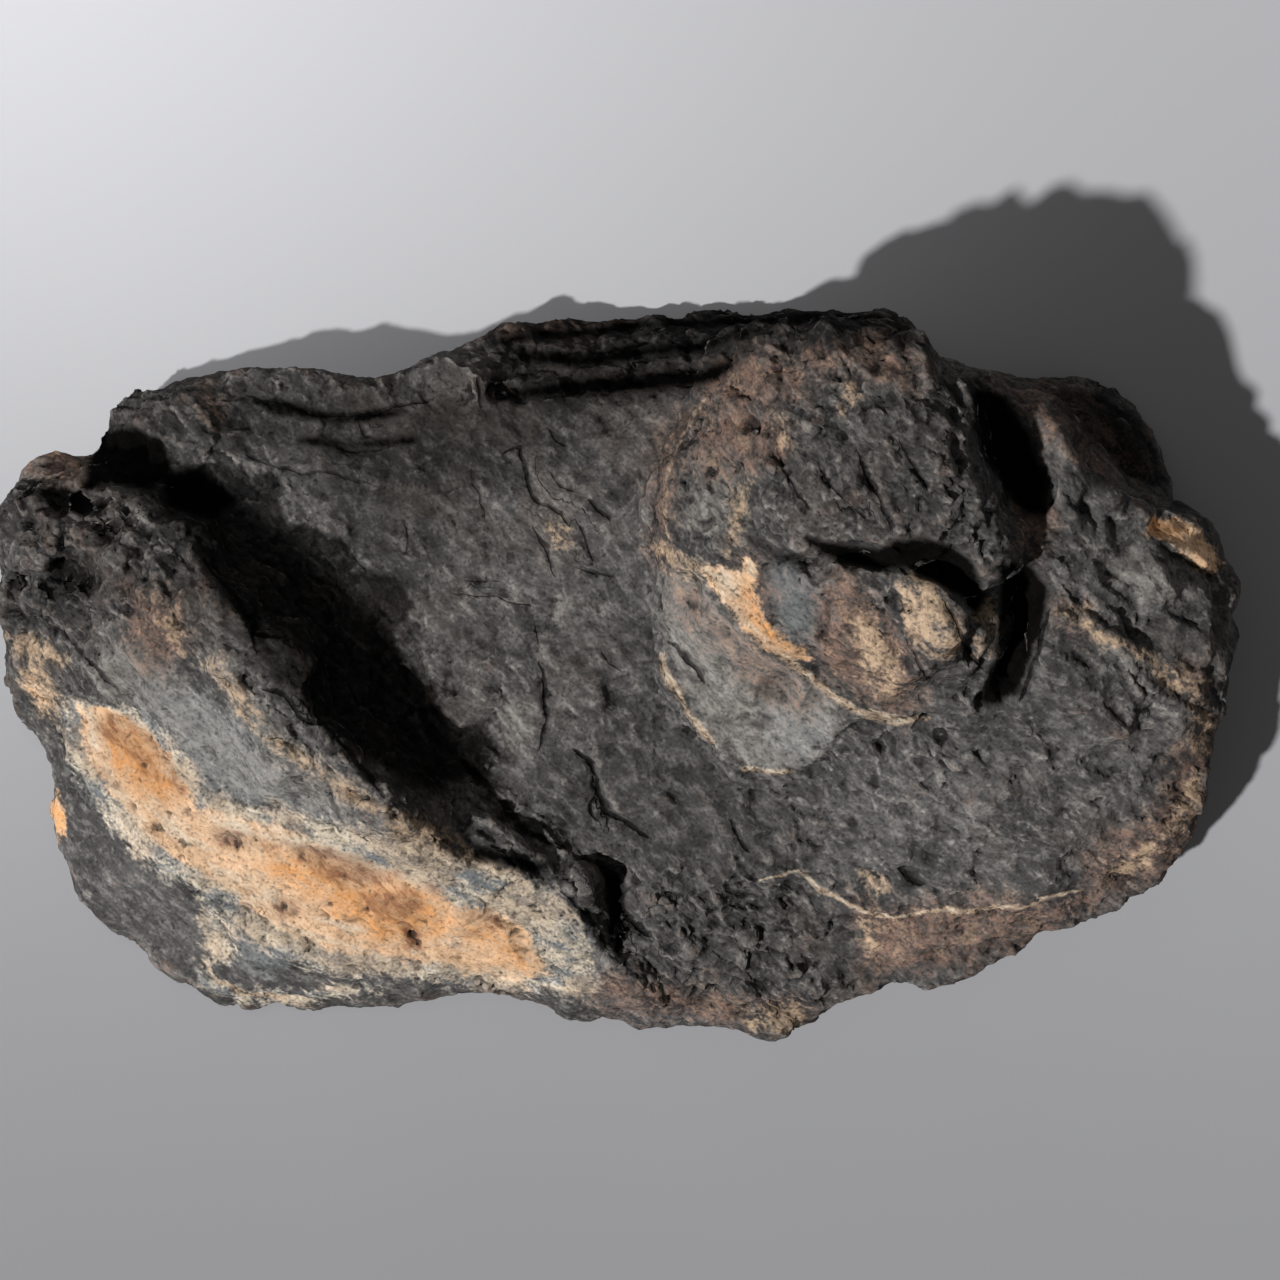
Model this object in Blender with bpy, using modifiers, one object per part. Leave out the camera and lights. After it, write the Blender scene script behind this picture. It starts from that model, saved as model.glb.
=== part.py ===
"""A suiseki, or viewing stone: a dark, weathered boulder with a long ridge, a domed peak and a plain between.

The stone is surveyed like a small piece of land. Named lines follow its crests, rims, feet and gullies.
Each point of a line is a pixel of the photograph and a real height above the base, and the camera that
took the photograph turns the two into a place in metres. The lines are the break lines of a net of
triangles, which is closed by an undercut side and a flat base, and then weathered.

The origin is the middle of the flat base, +X runs along the stone towards the domed peak, +Z is up.
"""

import math

import bmesh
import bpy
from mathutils import Matrix, Vector, noise
from mathutils.geometry import delaunay_2d_cdt

# Driving dimensions, in metres.
STONE_LENGTH = 0.300
MIDDLE_HEIGHT = 0.025

# The photograph: its size and the stone's length in pixels, the lens, and where the camera looks.
PHOTO_SIDE = 1280
TRACED_LENGTH = 1240
LENS = 0.085
SENSOR = 0.036
VIEW_ELEVATION = math.radians(88)
LOOK_AT = Vector((0.005, 0.006, MIDDLE_HEIGHT))

# The side below the widest edge: how far it draws in, its lean, and how far it runs below the base cut.
SIDE_INSET = 0.0035
SIDE_LEAN = 0.38
BELOW_BASE = 0.007

# The weathering of the surveyed net. The beds are thin layers of rock, tilted a little. Walls above
# WALL_FOOT and the underside of the overhang are cut deeper than the rest by STEEP_EXTRA.
FINE_STEP = 0.0021
ROUNDING_PASSES = 2
SETTLING_PASSES = 1
STEEP_EXTRA = 1.6
WALL_FOOT = 0.030
WALL_FADE = 0.012
BED_TILT = Vector((0.10, -0.16, 1))
SWELL_LENGTH = 0.028
SWELL_DEPTH = 0.0016
CHIP_LENGTH = 0.011
CHIP_DEPTH = 0.0012
WALL_CHIP_LENGTH = 0.026
WALL_CHIP_DEPTH = 0.0022
CHIP_SLOPE = 0.40
CHIP_SEED = 7.3
CHIP_SHIFTS = (Vector((0, 0, 0)), Vector((5.2, 1.3, 8.1)), Vector((2.7, 9.4, 4.6)))
BED_THICKNESS = 0.0062
BED_DEPTH = 0.0011
BED_WARP = 0.009
BED_WARP_LENGTH = 0.045
LEDGE_SHARE = 0.22
TRIANGLE_TARGET = 12300

# The colour and roughness of the dry rock.
SLATE_COLOUR = (0.055, 0.052, 0.05, 1)
SLATE_ROUGHNESS = 0.72

MM = 0.001
FOCAL_PIXELS = PHOTO_SIDE * LENS / SENSOR
VIEW_TURN = Matrix.Rotation(math.radians(90) - VIEW_ELEVATION, 3, "X")
EYE = LOOK_AT + VIEW_TURN @ Vector((0, 0, STONE_LENGTH * FOCAL_PIXELS / TRACED_LENGTH))

# The widest edge of the stone, clockwise from its left end: pixel across, pixel down, height in millimetres.
OUTLINE = [
    (2, 560, 25), (3, 515, 26), (14, 484, 24), (34, 458, 20), (60, 444, 16), (84, 450, 13), (97, 452, 10),
    (104, 408, 10), (135, 387, 12), (165, 379, 16), (212, 372, 20), (262, 366, 22), (312, 369, 23),
    (346, 377, 23), (382, 378, 22), (410, 369, 23), (432, 358, 23), (458, 346, 21), (482, 335, 18),
    (510, 324, 14), (560, 314, 10), (620, 310, 6), (700, 303, 4), (760, 304, 4), (830, 306, 5),
    (886, 312, 6), (910, 332, 8), (926, 355, 10), (968, 370, 12), (1023, 377, 12), (1072, 379, 11),
    (1112, 389, 10), (1144, 418, 9), (1164, 446, 9), (1172, 475, 10), (1174, 500, 13), (1213, 525, 23),
    (1228, 546, 26), (1236, 600, 28), (1239, 636, 28), (1234, 668, 28), (1224, 712, 27), (1212, 762, 26),
    (1205, 800, 25), (1198, 836, 23), (1187, 859, 20), (1168, 885, 17), (1138, 904, 14), (1092, 923, 12),
    (1052, 938, 11), (1011, 954, 11), (981, 969, 11), (937, 982, 11), (885, 991, 10), (836, 1004, 10),
    (807, 1016, 9), (788, 1026, 8), (740, 1029, 8), (680, 1026, 8), (620, 1018, 9), (560, 1008, 9),
    (500, 1000, 9), (440, 997, 9), (395, 1001, 7), (360, 1007, 6), (300, 1009, 6), (240, 1002, 7),
    (200, 985, 8), (150, 967, 8), (118, 940, 8), (92, 908, 8), (70, 874, 9), (56, 843, 10), (50, 810, 11),
    (58, 778, 13), (44, 748, 14), (30, 734, 15), (16, 705, 17), (6, 680, 19), (0, 650, 22), (0, 605, 24),
]

# Crests, rims, feet and gullies inside that edge, in the same three numbers.
BREAK_LINES = {
    "left knob": [(28, 505, 34), (52, 486, 33), (82, 480, 36), (108, 488, 42), (146, 501, 45)],
    "left knob shelf": [(20, 488, 27), (45, 468, 25), (70, 464, 22), (88, 466, 18)],
    "left knob pits": [(22, 545, 38), (50, 530, 40), (80, 545, 41), (112, 530, 45), (140, 550, 48)],
    "left knob hollow": [(25, 590, 37), (60, 600, 40), (78, 575, 39), (105, 590, 43), (150, 610, 49)],
    "ridge crest": [
        (146, 501, 45), (172, 524, 47), (201, 560, 51), (214, 588, 54), (240, 618, 58), (268, 646, 56),
        (296, 684, 54), (340, 742, 58), (382, 802, 54), (404, 826, 48), (448, 856, 42), (500, 868, 38),
        (546, 884, 35), (590, 930, 30), (622, 978, 23),
    ],
    "ridge shaded foot": [
        (112, 470, 26), (158, 470, 24), (196, 482, 26), (236, 505, 27), (285, 560, 27), (318, 612, 27),
        (352, 664, 28), (388, 716, 28), (432, 764, 29), (470, 790, 31),
    ],
    "ridge shaded step": [(470, 790, 31), (506, 832, 33), (546, 852, 31)],
    "ridge end gully": [
        (480, 772, 28), (520, 805, 28), (562, 845, 28), (615, 880, 22), (622, 925, 19), (616, 952, 19),
    ],
    "back block top": [
        (122, 418, 24), (150, 402, 25), (185, 398, 27), (200, 440, 29), (178, 452, 27), (150, 430, 26),
    ],
    "back block hollow": [(104, 440, 12), (112, 455, 14), (140, 458, 19)],
    "slab rim": [(205, 392, 25), (224, 432, 28), (244, 470, 28)],
    "lit slope brow": [
        (30, 640, 32), (70, 650, 37), (110, 650, 43), (150, 668, 47), (200, 690, 50), (250, 722, 51),
        (300, 770, 52), (345, 808, 49), (400, 840, 45),
    ],
    "vein upper edge": [
        (70, 712, 28), (115, 708, 33), (150, 730, 35), (176, 765, 35), (202, 814, 33), (250, 812, 37),
        (320, 822, 38), (380, 846, 37), (430, 870, 36), (470, 895, 34), (530, 925, 30), (572, 968, 23),
    ],
    "vein lower edge": [
        (72, 760, 20), (100, 805, 21), (150, 852, 22), (196, 890, 22), (240, 925, 20), (290, 948, 19),
        (350, 958, 19), (420, 968, 18), (500, 984, 15), (590, 994, 14),
    ],
    "low facet fold": [(196, 890, 22), (222, 932, 15), (232, 968, 11)],
    "low facet": [(78, 850, 13), (120, 900, 13), (168, 940, 12)],
    "front lip": [(232, 968, 11), (262, 985, 11), (310, 990, 11), (360, 984, 12)],
    "plain west": [(250, 420, 26), (300, 450, 27), (360, 520, 27), (400, 590, 28), (440, 640, 29)],
    "plain back edge": [
        (300, 392, 25), (360, 398, 26), (420, 388, 26), (476, 374, 25), (484, 410, 26), (560, 404, 27),
        (628, 404, 27), (680, 392, 26),
    ],
    "back slope shelf": [
        (512, 362, 19), (566, 350, 16), (640, 346, 15), (716, 338, 15), (776, 326, 14), (850, 322, 14),
    ],
    "plain joint": [(450, 596, 29), (512, 606, 29), (604, 612, 30)],
    "plain heart": [(500, 500, 28), (560, 560, 28), (620, 500, 29)],
    "plain south": [(540, 640, 30), (545, 730, 30), (575, 756, 30), (604, 806, 30), (650, 838, 29)],
    "plain east": [(620, 560, 30), (616, 660, 31), (640, 760, 31), (690, 810, 31)],
    "dome foot west": [
        (716, 366, 25), (700, 388, 26), (682, 418, 28), (666, 440, 29), (657, 470, 30), (651, 510, 31),
        (648, 545, 31), (644, 572, 31), (647, 600, 31), (652, 640, 31), (662, 684, 31), (680, 716, 31),
        (704, 748, 31), (736, 780, 31), (790, 788, 32),
    ],
    "dome rim": [
        (801, 332, 74), (758, 346, 70), (730, 368, 66), (712, 392, 64), (697, 420, 63), (682, 440, 62),
        (673, 462, 61), (667, 490, 59), (664, 514, 57), (666, 540, 53), (657, 562, 49),
    ],
    "dome back rim": [
        (801, 332, 74), (840, 331, 78), (876, 333, 79), (908, 349, 79), (946, 370, 77), (972, 384, 74),
    ],
    "dome east rim": [
        (972, 384, 74), (974, 412, 74), (972, 442, 73), (984, 480, 73), (1004, 505, 71), (1020, 536, 66),
    ],
    "dome crown": [
        (760, 450, 77), (810, 420, 83), (880, 410, 86), (935, 440, 85), (950, 490, 83), (900, 505, 83),
        (850, 490, 82), (800, 500, 79),
    ],
    "dome south lip": [
        (735, 520, 69), (766, 543, 71), (801, 540, 74), (844, 535, 77), (890, 537, 78), (934, 539, 77),
        (966, 550, 74), (1000, 560, 69),
    ],
    "dome gully": [
        (748, 556, 64), (781, 556, 64), (824, 551, 62), (872, 553, 60), (914, 552, 58), (946, 562, 56),
        (968, 582, 54), (980, 606, 52),
    ],
    "dome gully floor": [(836, 560, 62), (876, 563, 60), (912, 563, 58), (938, 574, 56), (957, 592, 54)],
    "lobe brow": [
        (752, 576, 65), (800, 572, 70), (850, 573, 72), (898, 575, 73), (922, 586, 74), (942, 604, 74),
        (956, 628, 71), (946, 656, 69),
    ],
    "lobe face": [(772, 612, 64), (815, 640, 66), (862, 662, 66), (905, 676, 65)],
    "lobe vein": [
        (700, 566, 59), (712, 578, 57), (724, 598, 56), (743, 620, 56), (765, 643, 56), (790, 663, 55),
        (818, 683, 54), (845, 703, 52), (872, 714, 51), (902, 722, 50), (938, 714, 51), (968, 700, 53),
        (986, 670, 55), (994, 640, 57), (992, 604, 57),
    ],
    "apron": [
        (686, 590, 50), (700, 630, 47), (728, 668, 45), (768, 706, 43), (806, 728, 42), (836, 722, 43),
    ],
    "apron edge": [
        (657, 562, 49), (657, 596, 45), (662, 626, 43), (670, 648, 41), (668, 672, 40), (684, 703, 39),
        (702, 732, 38), (723, 756, 37), (744, 770, 36), (789, 777, 36), (822, 757, 38), (842, 732, 40),
        (868, 728, 41), (902, 735, 42), (940, 726, 43),
    ],
    "collar gully": [
        (992, 396, 50), (1004, 430, 46), (1020, 466, 44), (1038, 498, 45), (1034, 534, 54),
        (1030, 572, 46), (1022, 620, 44), (1008, 668, 43), (992, 704, 44),
    ],
    "collar crest": [
        (968, 376, 40), (1000, 388, 54), (1026, 407, 59), (1055, 422, 59), (1073, 442, 58), (1088, 459, 56),
        (1110, 476, 53), (1122, 496, 50), (1147, 513, 45), (1180, 522, 38),
    ],
    "collar crest foot": [
        (1006, 383, 30), (1040, 402, 30), (1078, 430, 28), (1104, 458, 27), (1130, 488, 25),
        (1156, 507, 24),
    ],
    "back lobe": [(1030, 386, 19), (1078, 396, 18), (1116, 416, 17), (1142, 448, 16), (1154, 480, 16)],
    "collar inner brow": [
        (1048, 452, 60), (1058, 500, 60), (1052, 545, 60), (1056, 600, 57), (1046, 660, 51),
        (1030, 712, 46),
    ],
    "collar patch gully": [(1120, 530, 44), (1158, 543, 41), (1188, 563, 37), (1214, 582, 33)],
    "collar patch brow": [(1152, 526, 41), (1178, 530, 39), (1204, 548, 35)],
    "collar shoulder": [
        (1090, 560, 53), (1140, 582, 47), (1186, 606, 42), (1206, 650, 38), (1196, 690, 37),
        (1180, 740, 35),
    ],
    "collar south": [
        (1100, 650, 49), (1150, 690, 44), (1110, 740, 44), (1040, 760, 41), (960, 760, 41),
        (880, 772, 38),
    ],
    "south slope": [
        (1160, 790, 32), (1080, 810, 36), (990, 830, 34), (900, 830, 33), (820, 830, 32), (740, 840, 29),
    ],
    "south vein": [
        (720, 900, 26), (768, 878, 28), (804, 880, 27), (830, 896, 26), (864, 917, 25), (938, 912, 25),
        (1034, 904, 23), (1100, 884, 22), (1150, 846, 26),
    ],
    "south brow": [
        (660, 962, 20), (720, 985, 17), (780, 990, 16), (860, 960, 18), (950, 945, 18), (1030, 924, 18),
    ],
    "west of end gully": [(580, 890, 31), (600, 925, 27)],
    "east of end gully": [(640, 880, 28), (650, 930, 25)],
}


def traced(across, down, height_mm):
    """The place at that height which shows at that pixel of the photograph."""
    half = PHOTO_SIDE / 2
    ray = VIEW_TURN @ Vector(((across - half) / FOCAL_PIXELS, (half - down) / FOCAL_PIXELS, -1))
    return EYE + ray * ((height_mm * MM - EYE.z) / ray.z)


def clear_scene():
    for thing in list(bpy.data.objects):
        bpy.data.objects.remove(thing)


def surveyed_net():
    """The top of the stone: triangles between all the lines, none of which crosses a line."""
    pixels, places, line_edges = [], [], []
    known = {}

    def point(across, down, height):
        if (across, down) not in known:
            known[across, down] = len(pixels)
            pixels.append(Vector((across, -down)))
            places.append(traced(across, down, height))
        return known[across, down]

    edge = [point(*p) for p in OUTLINE]
    for line in BREAK_LINES.values():
        ends = [point(*p) for p in line]
        line_edges += list(zip(ends, ends[1:]))
    line_edges += list(zip(edge, edge[1:] + edge[:1]))
    verts, _, faces, origins, _, _ = delaunay_2d_cdt(pixels, line_edges, [], 1, 1e-4)
    net = bmesh.new()
    for origin in origins:
        if not origin:
            raise ValueError("two lines of the survey cross")
        net.verts.new(places[origin[0]])
    net.verts.ensure_lookup_table()
    for face in faces:
        net.faces.new([net.verts[i] for i in face])
    bmesh.ops.recalc_face_normals(net, faces=net.faces)
    return net


def close_side_and_base(net):
    """From the widest edge the side leans in under the stone, more where the edge is high, to a flat base."""
    rim = [e for e in net.edges if e.is_boundary]
    middle = sum((v.co for e in rim for v in e.verts), Vector()) / (2 * len(rim))
    for share, drop in ((0.5, 0), (0, BELOW_BASE)):
        ring = bmesh.ops.extrude_edge_only(net, edges=rim)["geom"]
        rim = [g for g in ring if isinstance(g, bmesh.types.BMEdge) and g.is_boundary]
        for vert in {v for e in rim for v in e.verts}:
            inward = Vector((middle.x - vert.co.x, middle.y - vert.co.y, 0)).normalized()
            vert.co += inward * (SIDE_INSET / 2 + SIDE_LEAN * vert.co.z * (1 - share))
            vert.co.z = vert.co.z * share - drop
    bmesh.ops.holes_fill(net, edges=rim, sides=0)
    bmesh.ops.triangulate(net, faces=[f for f in net.faces if len(f.verts) > 4])
    bmesh.ops.recalc_face_normals(net, faces=net.faces)


def baked(stone):
    """The object's mesh with its modifiers applied, put back on it without them."""
    graph = bpy.context.evaluated_depsgraph_get()
    mesh = bpy.data.meshes.new_from_object(stone.evaluated_get(graph))
    stone.modifiers.clear()
    stone.data = mesh
    return mesh


def even_out(stone):
    """Equal, small faces all over, with the corners of the net a little rounded."""
    remesh = stone.modifiers.new("even grain", "REMESH")
    remesh.mode = "VOXEL"
    remesh.voxel_size = FINE_STEP
    round_off(stone, ROUNDING_PASSES)


def round_off(stone, passes):
    smooth = stone.modifiers.new("rounding", "SMOOTH")
    smooth.factor = 0.5
    smooth.iterations = passes
    baked(stone)


def swell(place):
    """Slow hollows and lumps."""
    return SWELL_DEPTH * noise.fractal(place / SWELL_LENGTH, 1.0, 2.0, 3)


def chip(place, length, depth):
    """Flat, tilted scars, one for each cell of a random pattern, as where flakes broke off."""
    _, centres = noise.voronoi(place / length)
    tilt = Vector([noise.noise(centres[0] * CHIP_SEED + shift) for shift in CHIP_SHIFTS])
    rise = CHIP_SLOPE * tilt.dot(place - centres[0] * length)
    return max(-depth, min(depth, rise))


def bed(place):
    """Ledges where the beds of the rock crop out on a slope. They fade in and out along the stone."""
    warp = BED_WARP * noise.fractal(place / BED_WARP_LENGTH, 1.0, 2.0, 2)
    layer = (place.dot(BED_TILT) + warp) / BED_THICKNESS
    part = layer - math.floor(layer)
    ledge = min(1, part / LEDGE_SHARE)
    step = ledge * ledge * (3 - 2 * ledge) - part
    strength = 0.5 + noise.noise(place / BED_WARP_LENGTH + Vector((3, 1, 7)))
    return BED_DEPTH * 2 * step * max(0, min(1, strength))


def wear(place, normal):
    """How much deeper than elsewhere the weather has cut here."""
    above_foot = max(0, min(1, (place.z - WALL_FOOT) / WALL_FADE))
    wall = (1 - abs(normal.z)) * above_foot
    overhang = max(0, -normal.z) if normal.z > -0.95 else 0
    return 1 + STEEP_EXTRA * (wall + overhang)


def weather(mesh):
    """Moves each point of the skin in or out by the swells, the chips and the beds."""
    moves = []
    for vert in mesh.vertices:
        worn = wear(vert.co, vert.normal)
        depth = swell(vert.co) + chip(vert.co, CHIP_LENGTH, CHIP_DEPTH) + bed(vert.co)
        wall_depth = chip(vert.co, WALL_CHIP_LENGTH, WALL_CHIP_DEPTH)
        moves.append(vert.normal * (depth * worn + wall_depth * (worn - 1)))
    for vert, move in zip(mesh.vertices, moves):
        vert.co += move


def cut_base(mesh):
    """A flat face at height 0, on which the stone rests."""
    solid = bmesh.new()
    solid.from_mesh(mesh)
    everything = solid.verts[:] + solid.edges[:] + solid.faces[:]
    up = Vector((0, 0, 1))
    cut = bmesh.ops.bisect_plane(solid, geom=everything, plane_co=(0, 0, 0), plane_no=up, clear_inner=True)
    rim = [g for g in cut["geom_cut"] if isinstance(g, bmesh.types.BMEdge)]
    base = bmesh.ops.holes_fill(solid, edges=rim, sides=0)["faces"]
    bmesh.ops.triangulate(solid, faces=base)
    bmesh.ops.recalc_face_normals(solid, faces=solid.faces)
    solid.to_mesh(mesh)
    solid.free()


def thin_out(stone):
    """Fewer, larger faces where the stone is flat."""
    decimate = stone.modifiers.new("facets", "DECIMATE")
    decimate.ratio = TRIANGLE_TARGET / sum(len(f.vertices) - 2 for f in stone.data.polygons)
    baked(stone)


def slate_material():
    slate = bpy.data.materials.new("slate")
    slate.use_nodes = True
    shader = slate.node_tree.nodes["Principled BSDF"]
    shader.inputs["Base Color"].default_value = SLATE_COLOUR
    shader.inputs["Roughness"].default_value = SLATE_ROUGHNESS
    shader.inputs["Metallic"].default_value = 0
    return slate


def main():
    clear_scene()
    net = surveyed_net()
    close_side_and_base(net)
    mesh = bpy.data.meshes.new("stone")
    net.to_mesh(mesh)
    net.free()
    stone = bpy.data.objects.new("stone", mesh)
    collection = bpy.data.collections.new("suiseki")
    bpy.context.scene.collection.children.link(collection)
    collection.objects.link(stone)
    even_out(stone)
    weather(stone.data)
    round_off(stone, SETTLING_PASSES)
    thin_out(stone)
    cut_base(stone.data)
    stone.data.name = "stone"
    stone.data.materials.append(slate_material())
    stone.data.shade_smooth()
    stone.data.set_sharp_from_angle(angle=math.radians(50))


main()
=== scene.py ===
import math

import bpy
import numpy as np
from mathutils import Matrix, Vector, noise


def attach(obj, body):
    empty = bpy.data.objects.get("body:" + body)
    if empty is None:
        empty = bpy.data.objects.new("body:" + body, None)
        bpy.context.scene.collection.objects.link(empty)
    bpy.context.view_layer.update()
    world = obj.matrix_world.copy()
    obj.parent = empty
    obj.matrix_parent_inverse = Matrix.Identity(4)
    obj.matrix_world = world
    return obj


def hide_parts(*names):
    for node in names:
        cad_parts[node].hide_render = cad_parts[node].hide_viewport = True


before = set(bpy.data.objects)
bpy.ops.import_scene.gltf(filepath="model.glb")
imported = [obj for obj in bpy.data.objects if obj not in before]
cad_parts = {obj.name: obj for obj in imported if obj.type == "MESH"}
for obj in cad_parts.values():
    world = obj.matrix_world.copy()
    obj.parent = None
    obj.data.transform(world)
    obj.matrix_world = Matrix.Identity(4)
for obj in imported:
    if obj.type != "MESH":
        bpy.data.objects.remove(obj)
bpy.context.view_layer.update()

bl_info = {
    "name": "Viewing Stone",
    "version": (1, 0, 0),
    "blender": (4, 5, 0),
    "location": "3D View > Sidebar > Stone",
    "description": "Carves and colours a weathered viewing stone over its packed solid",
    "category": "Object",
}

MM = 0.001

# The broken surface: the length in metres and the slope of each size of flake scar, and in millimetres how
# far the large scars are bent, the depth of uneven ground, of thin sheets and of bedding, and the thickness
# and the waviness of a bed. A riser takes a share of each step. Upright walls are calmer.
BENT_FLAKES = (0.0110, 0.09)
FABRIC_FLAKES = (0.0040, 0.22)
SMALL_FLAKES = (0.0022, 0.26)
BENT_WARP = 2.2
WARP_SHIFTS = (2.1, 5.7, 8.9)
UNEVEN = 0.25
UNEVEN_LENGTH = 0.012
SHEET = 0.35
SHEETS_CUT = 7
SHEET_LENGTH = 0.03
SHEET_RISER = 0.22
BEDDING = 0.5
BED = 3.4
BED_SLOPE = (0.10, -0.16, 1.0)
BED_WAVE = 6
BED_RISER = 0.3
UPRIGHT_CALM = 0.7

# How high the flat foot of the skin reaches, and the depth at which a hollow's wall is fully rounded, both in
# millimetres, and how often it is rounded.
BASE_BAND = 0.3
HOLLOW_ROUNDED = 2
HOLLOW_PASSES = 10

# How a drawn line wavers: the length in metres of its bends, their reach in pixels, and where they start.
BENDS = ((0.008, 3.2, (0.0, 11.3)), (0.0026, 2.4, (3.1, 7.9)))

# A crack's groove: its width in pixels for each millimetre, what its narrow end keeps of that, how much the
# skin's own grain widens it in pixels, and the share of its depth that is cut. Its colour is narrower, and
# fully dark from a depth in millimetres.
GROOVE_WIDTH = 4.1
GROOVE_END = 0.45
GROOVE_GRAIN = 1.5
GROOVE_CUT = 0.7
CRACK_WIDTH = 3.0
CRACK_DARK = 2.2

# How many half widths a line's field counts up to, and its margin in pixels.
FIELD_LIMIT = 4.0
FIELD_MARGIN = 8

# A ledge's edge in pixels, and the share of its length over which each end runs out.
LEDGE_EDGE = 2.5
LEDGE_END = 0.12

# How steep the walls of pits and lumps are.
PIT_WALL = 4
LUMP_WALL = 3

# How often the skin is averaged to find its fine and its broad hollows, and the lengths in metres over which
# the rock's colour changes.
FINE_PASSES = 3
BROAD_PASSES = 40
BROAD_LENGTH = 0.045
CLOUD_LENGTH = 0.013

# How far from a crack's box its groove is worked out and how far a stain reaches outside its outline, in
# pixels, and how far round a surface a stain is seen.
CRACK_REACH = 30
STAIN_REACH = 40
STAIN_SEEN = 0.3

# The dark of small pits and of the skin's hollows, the near-black of the painted shadow in deep hollows and
# gullies and of the cracks, and how little the dry rock mirrors.
PIT_COLOUR = (0.012, 0.011, 0.011, 1)
SHADOW_AND_CRACK_COLOUR = (0.0028, 0.0025, 0.0023, 1)
DRY_SPECULAR = 0.015

# The main light's height and its way over the floor.
KEY_ELEVATION = math.radians(44.5)
KEY_WAY = (0.819, 0.574)

# The light that washes the floor behind, and how much darker the floor's colour is painted in front, as
# painted shade where the light falls off.
WASH_PLACE = (-0.20, 0.24, 0.55)
WASH_ANGLE = math.radians(48)
FRONT_FLOOR_SHADE = 0.62

# The photograph's camera, in metres and pixels, as in the part's source.
PHOTO_SIDE = 1280
STONE_LENGTH = 0.300
TRACED_LENGTH = 1240
LENS = 0.085
SENSOR = 0.036
VIEW_ELEVATION = math.radians(88)
LOOK_AT = Vector((0.005, 0.006, 0.025))
FOCAL_PIXELS = PHOTO_SIDE * LENS / SENSOR
VIEW_TURN = Matrix.Rotation(math.radians(90) - VIEW_ELEVATION, 3, "X")
EYE = LOOK_AT + VIEW_TURN @ Vector((0, 0, STONE_LENGTH * FOCAL_PIXELS / TRACED_LENGTH))

# The outline of the apron below the peak's vein, in pixels.
APRON = [(660, 570), (705, 570), (760, 650), (850, 710), (800, 765), (745, 765), (705, 735), (672, 660)]

# How rough the broken surface is inside each outline, against 1 elsewhere, and how wide the change is
# in pixels.
ROUGH_ZONES = {
    "plain": (0.42, 30, [
        (240, 420), (330, 395), (480, 400), (700, 395), (652, 560), (660, 700), (740, 800), (760, 860),
        (650, 850), (560, 830), (470, 740), (400, 600), (330, 510),
    ]),
    "lit slope": (0.45, 16, [
        (120, 600), (190, 640), (250, 730), (340, 830), (200, 800), (150, 725), (90, 690),
    ]),
    "ochre patch": (0.55, 14, [
        (75, 706), (149, 729), (189, 795), (245, 808), (370, 835), (475, 915), (562, 975), (460, 975),
        (330, 950), (200, 860), (120, 800), (78, 735),
    ]),
    "low facet": (0.35, 14, [
        (36, 790), (100, 796), (150, 850), (215, 910), (330, 960), (420, 985), (420, 1016), (240, 1012),
        (150, 990), (60, 910), (36, 840),
    ]),
    "apron": (0.28, 10, APRON),
    "lobe facet": (0.12, 8, [(762, 558), (800, 562), (822, 600), (815, 645), (790, 640), (765, 600)]),
    "knob": (1.7, 16, [(0, 490), (60, 470), (150, 490), (185, 560), (120, 620), (40, 640), (0, 640)]),
    "peak top": (1.15, 20, [(680, 440), (760, 340), (960, 380), (1000, 540), (760, 550), (670, 540)]),
    "gully floor": (1.5, 16, [(570, 850), (650, 870), (800, 880), (830, 1000), (640, 1000), (590, 930)]),
    "south slope": (0.75, 30, [(820, 800), (1180, 760), (1150, 870), (1000, 940), (830, 980)]),
    "tan spot": (0.5, 8, [(898, 582), (932, 578), (958, 626), (950, 658), (918, 642), (898, 610)]),
    "collar flank": (0.62, 30, [
        (1050, 610), (1230, 640), (1220, 720), (1180, 800), (1000, 800), (1000, 710),
    ]),
    "collar": (0.42, 20, [
        (1000, 388), (1050, 404), (1110, 462), (1160, 512), (1226, 540), (1236, 640), (1180, 650),
        (1100, 610), (1056, 560), (1050, 480),
    ]),
    "dome gully": (0.45, 10, [
        (800, 536), (830, 539), (880, 545), (897, 537), (930, 536), (972, 556), (992, 596), (976, 614),
        (955, 600), (930, 584), (905, 574), (860, 571), (820, 558),
    ]),
    "east gully": (0.55, 16, [
        (968, 384), (1010, 396), (1046, 480), (1050, 540), (1048, 620), (1004, 712), (980, 704), (996, 600),
        (1018, 540), (990, 480),
    ]),
}

# The way that the rock's fabric runs: its turn from the long side, the dip of its sheets, and how far a
# pattern is drawn out along them and across them. It wavers by so many millimetres.
FABRIC_TURN = math.radians(-46)
FABRIC_DIP = math.radians(35)
FABRIC_STRETCH = 2.0
FABRIC_WIDTH = 1.3
FABRIC_WARP = 1.6
PATCH_STRETCH = 3.2

# The flow line of the ochre patch, along which its minerals are drawn out.
PATCH_FLOW = [
    (60, 660), (96, 724), (136, 784), (190, 832), (270, 868), (360, 896), (450, 926), (540, 962),
    (640, 1000),
]

# Hollows that are deeper than the solid's: depth in millimetres, edge in pixels, outline.
HOLLOWS = {
    "under the lip": (5.0, 10, [
        (806, 539), (830, 543), (856, 546), (880, 549), (897, 541), (926, 540), (950, 548), (970, 562),
        (986, 594), (975, 608), (958, 594), (934, 580), (905, 570), (880, 569), (845, 562), (820, 552),
    ]),
    "lower east gully": (2.0, 20, [
        (1000, 566), (1026, 566), (1040, 590), (1034, 630), (1010, 690), (992, 702), (984, 690),
        (1000, 640),
    ]),
    "upper east gully": (3.0, 14, [
        (976, 390), (1002, 398), (1026, 432), (1046, 484), (1044, 508), (1022, 506), (994, 470),
    ]),
}

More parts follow.
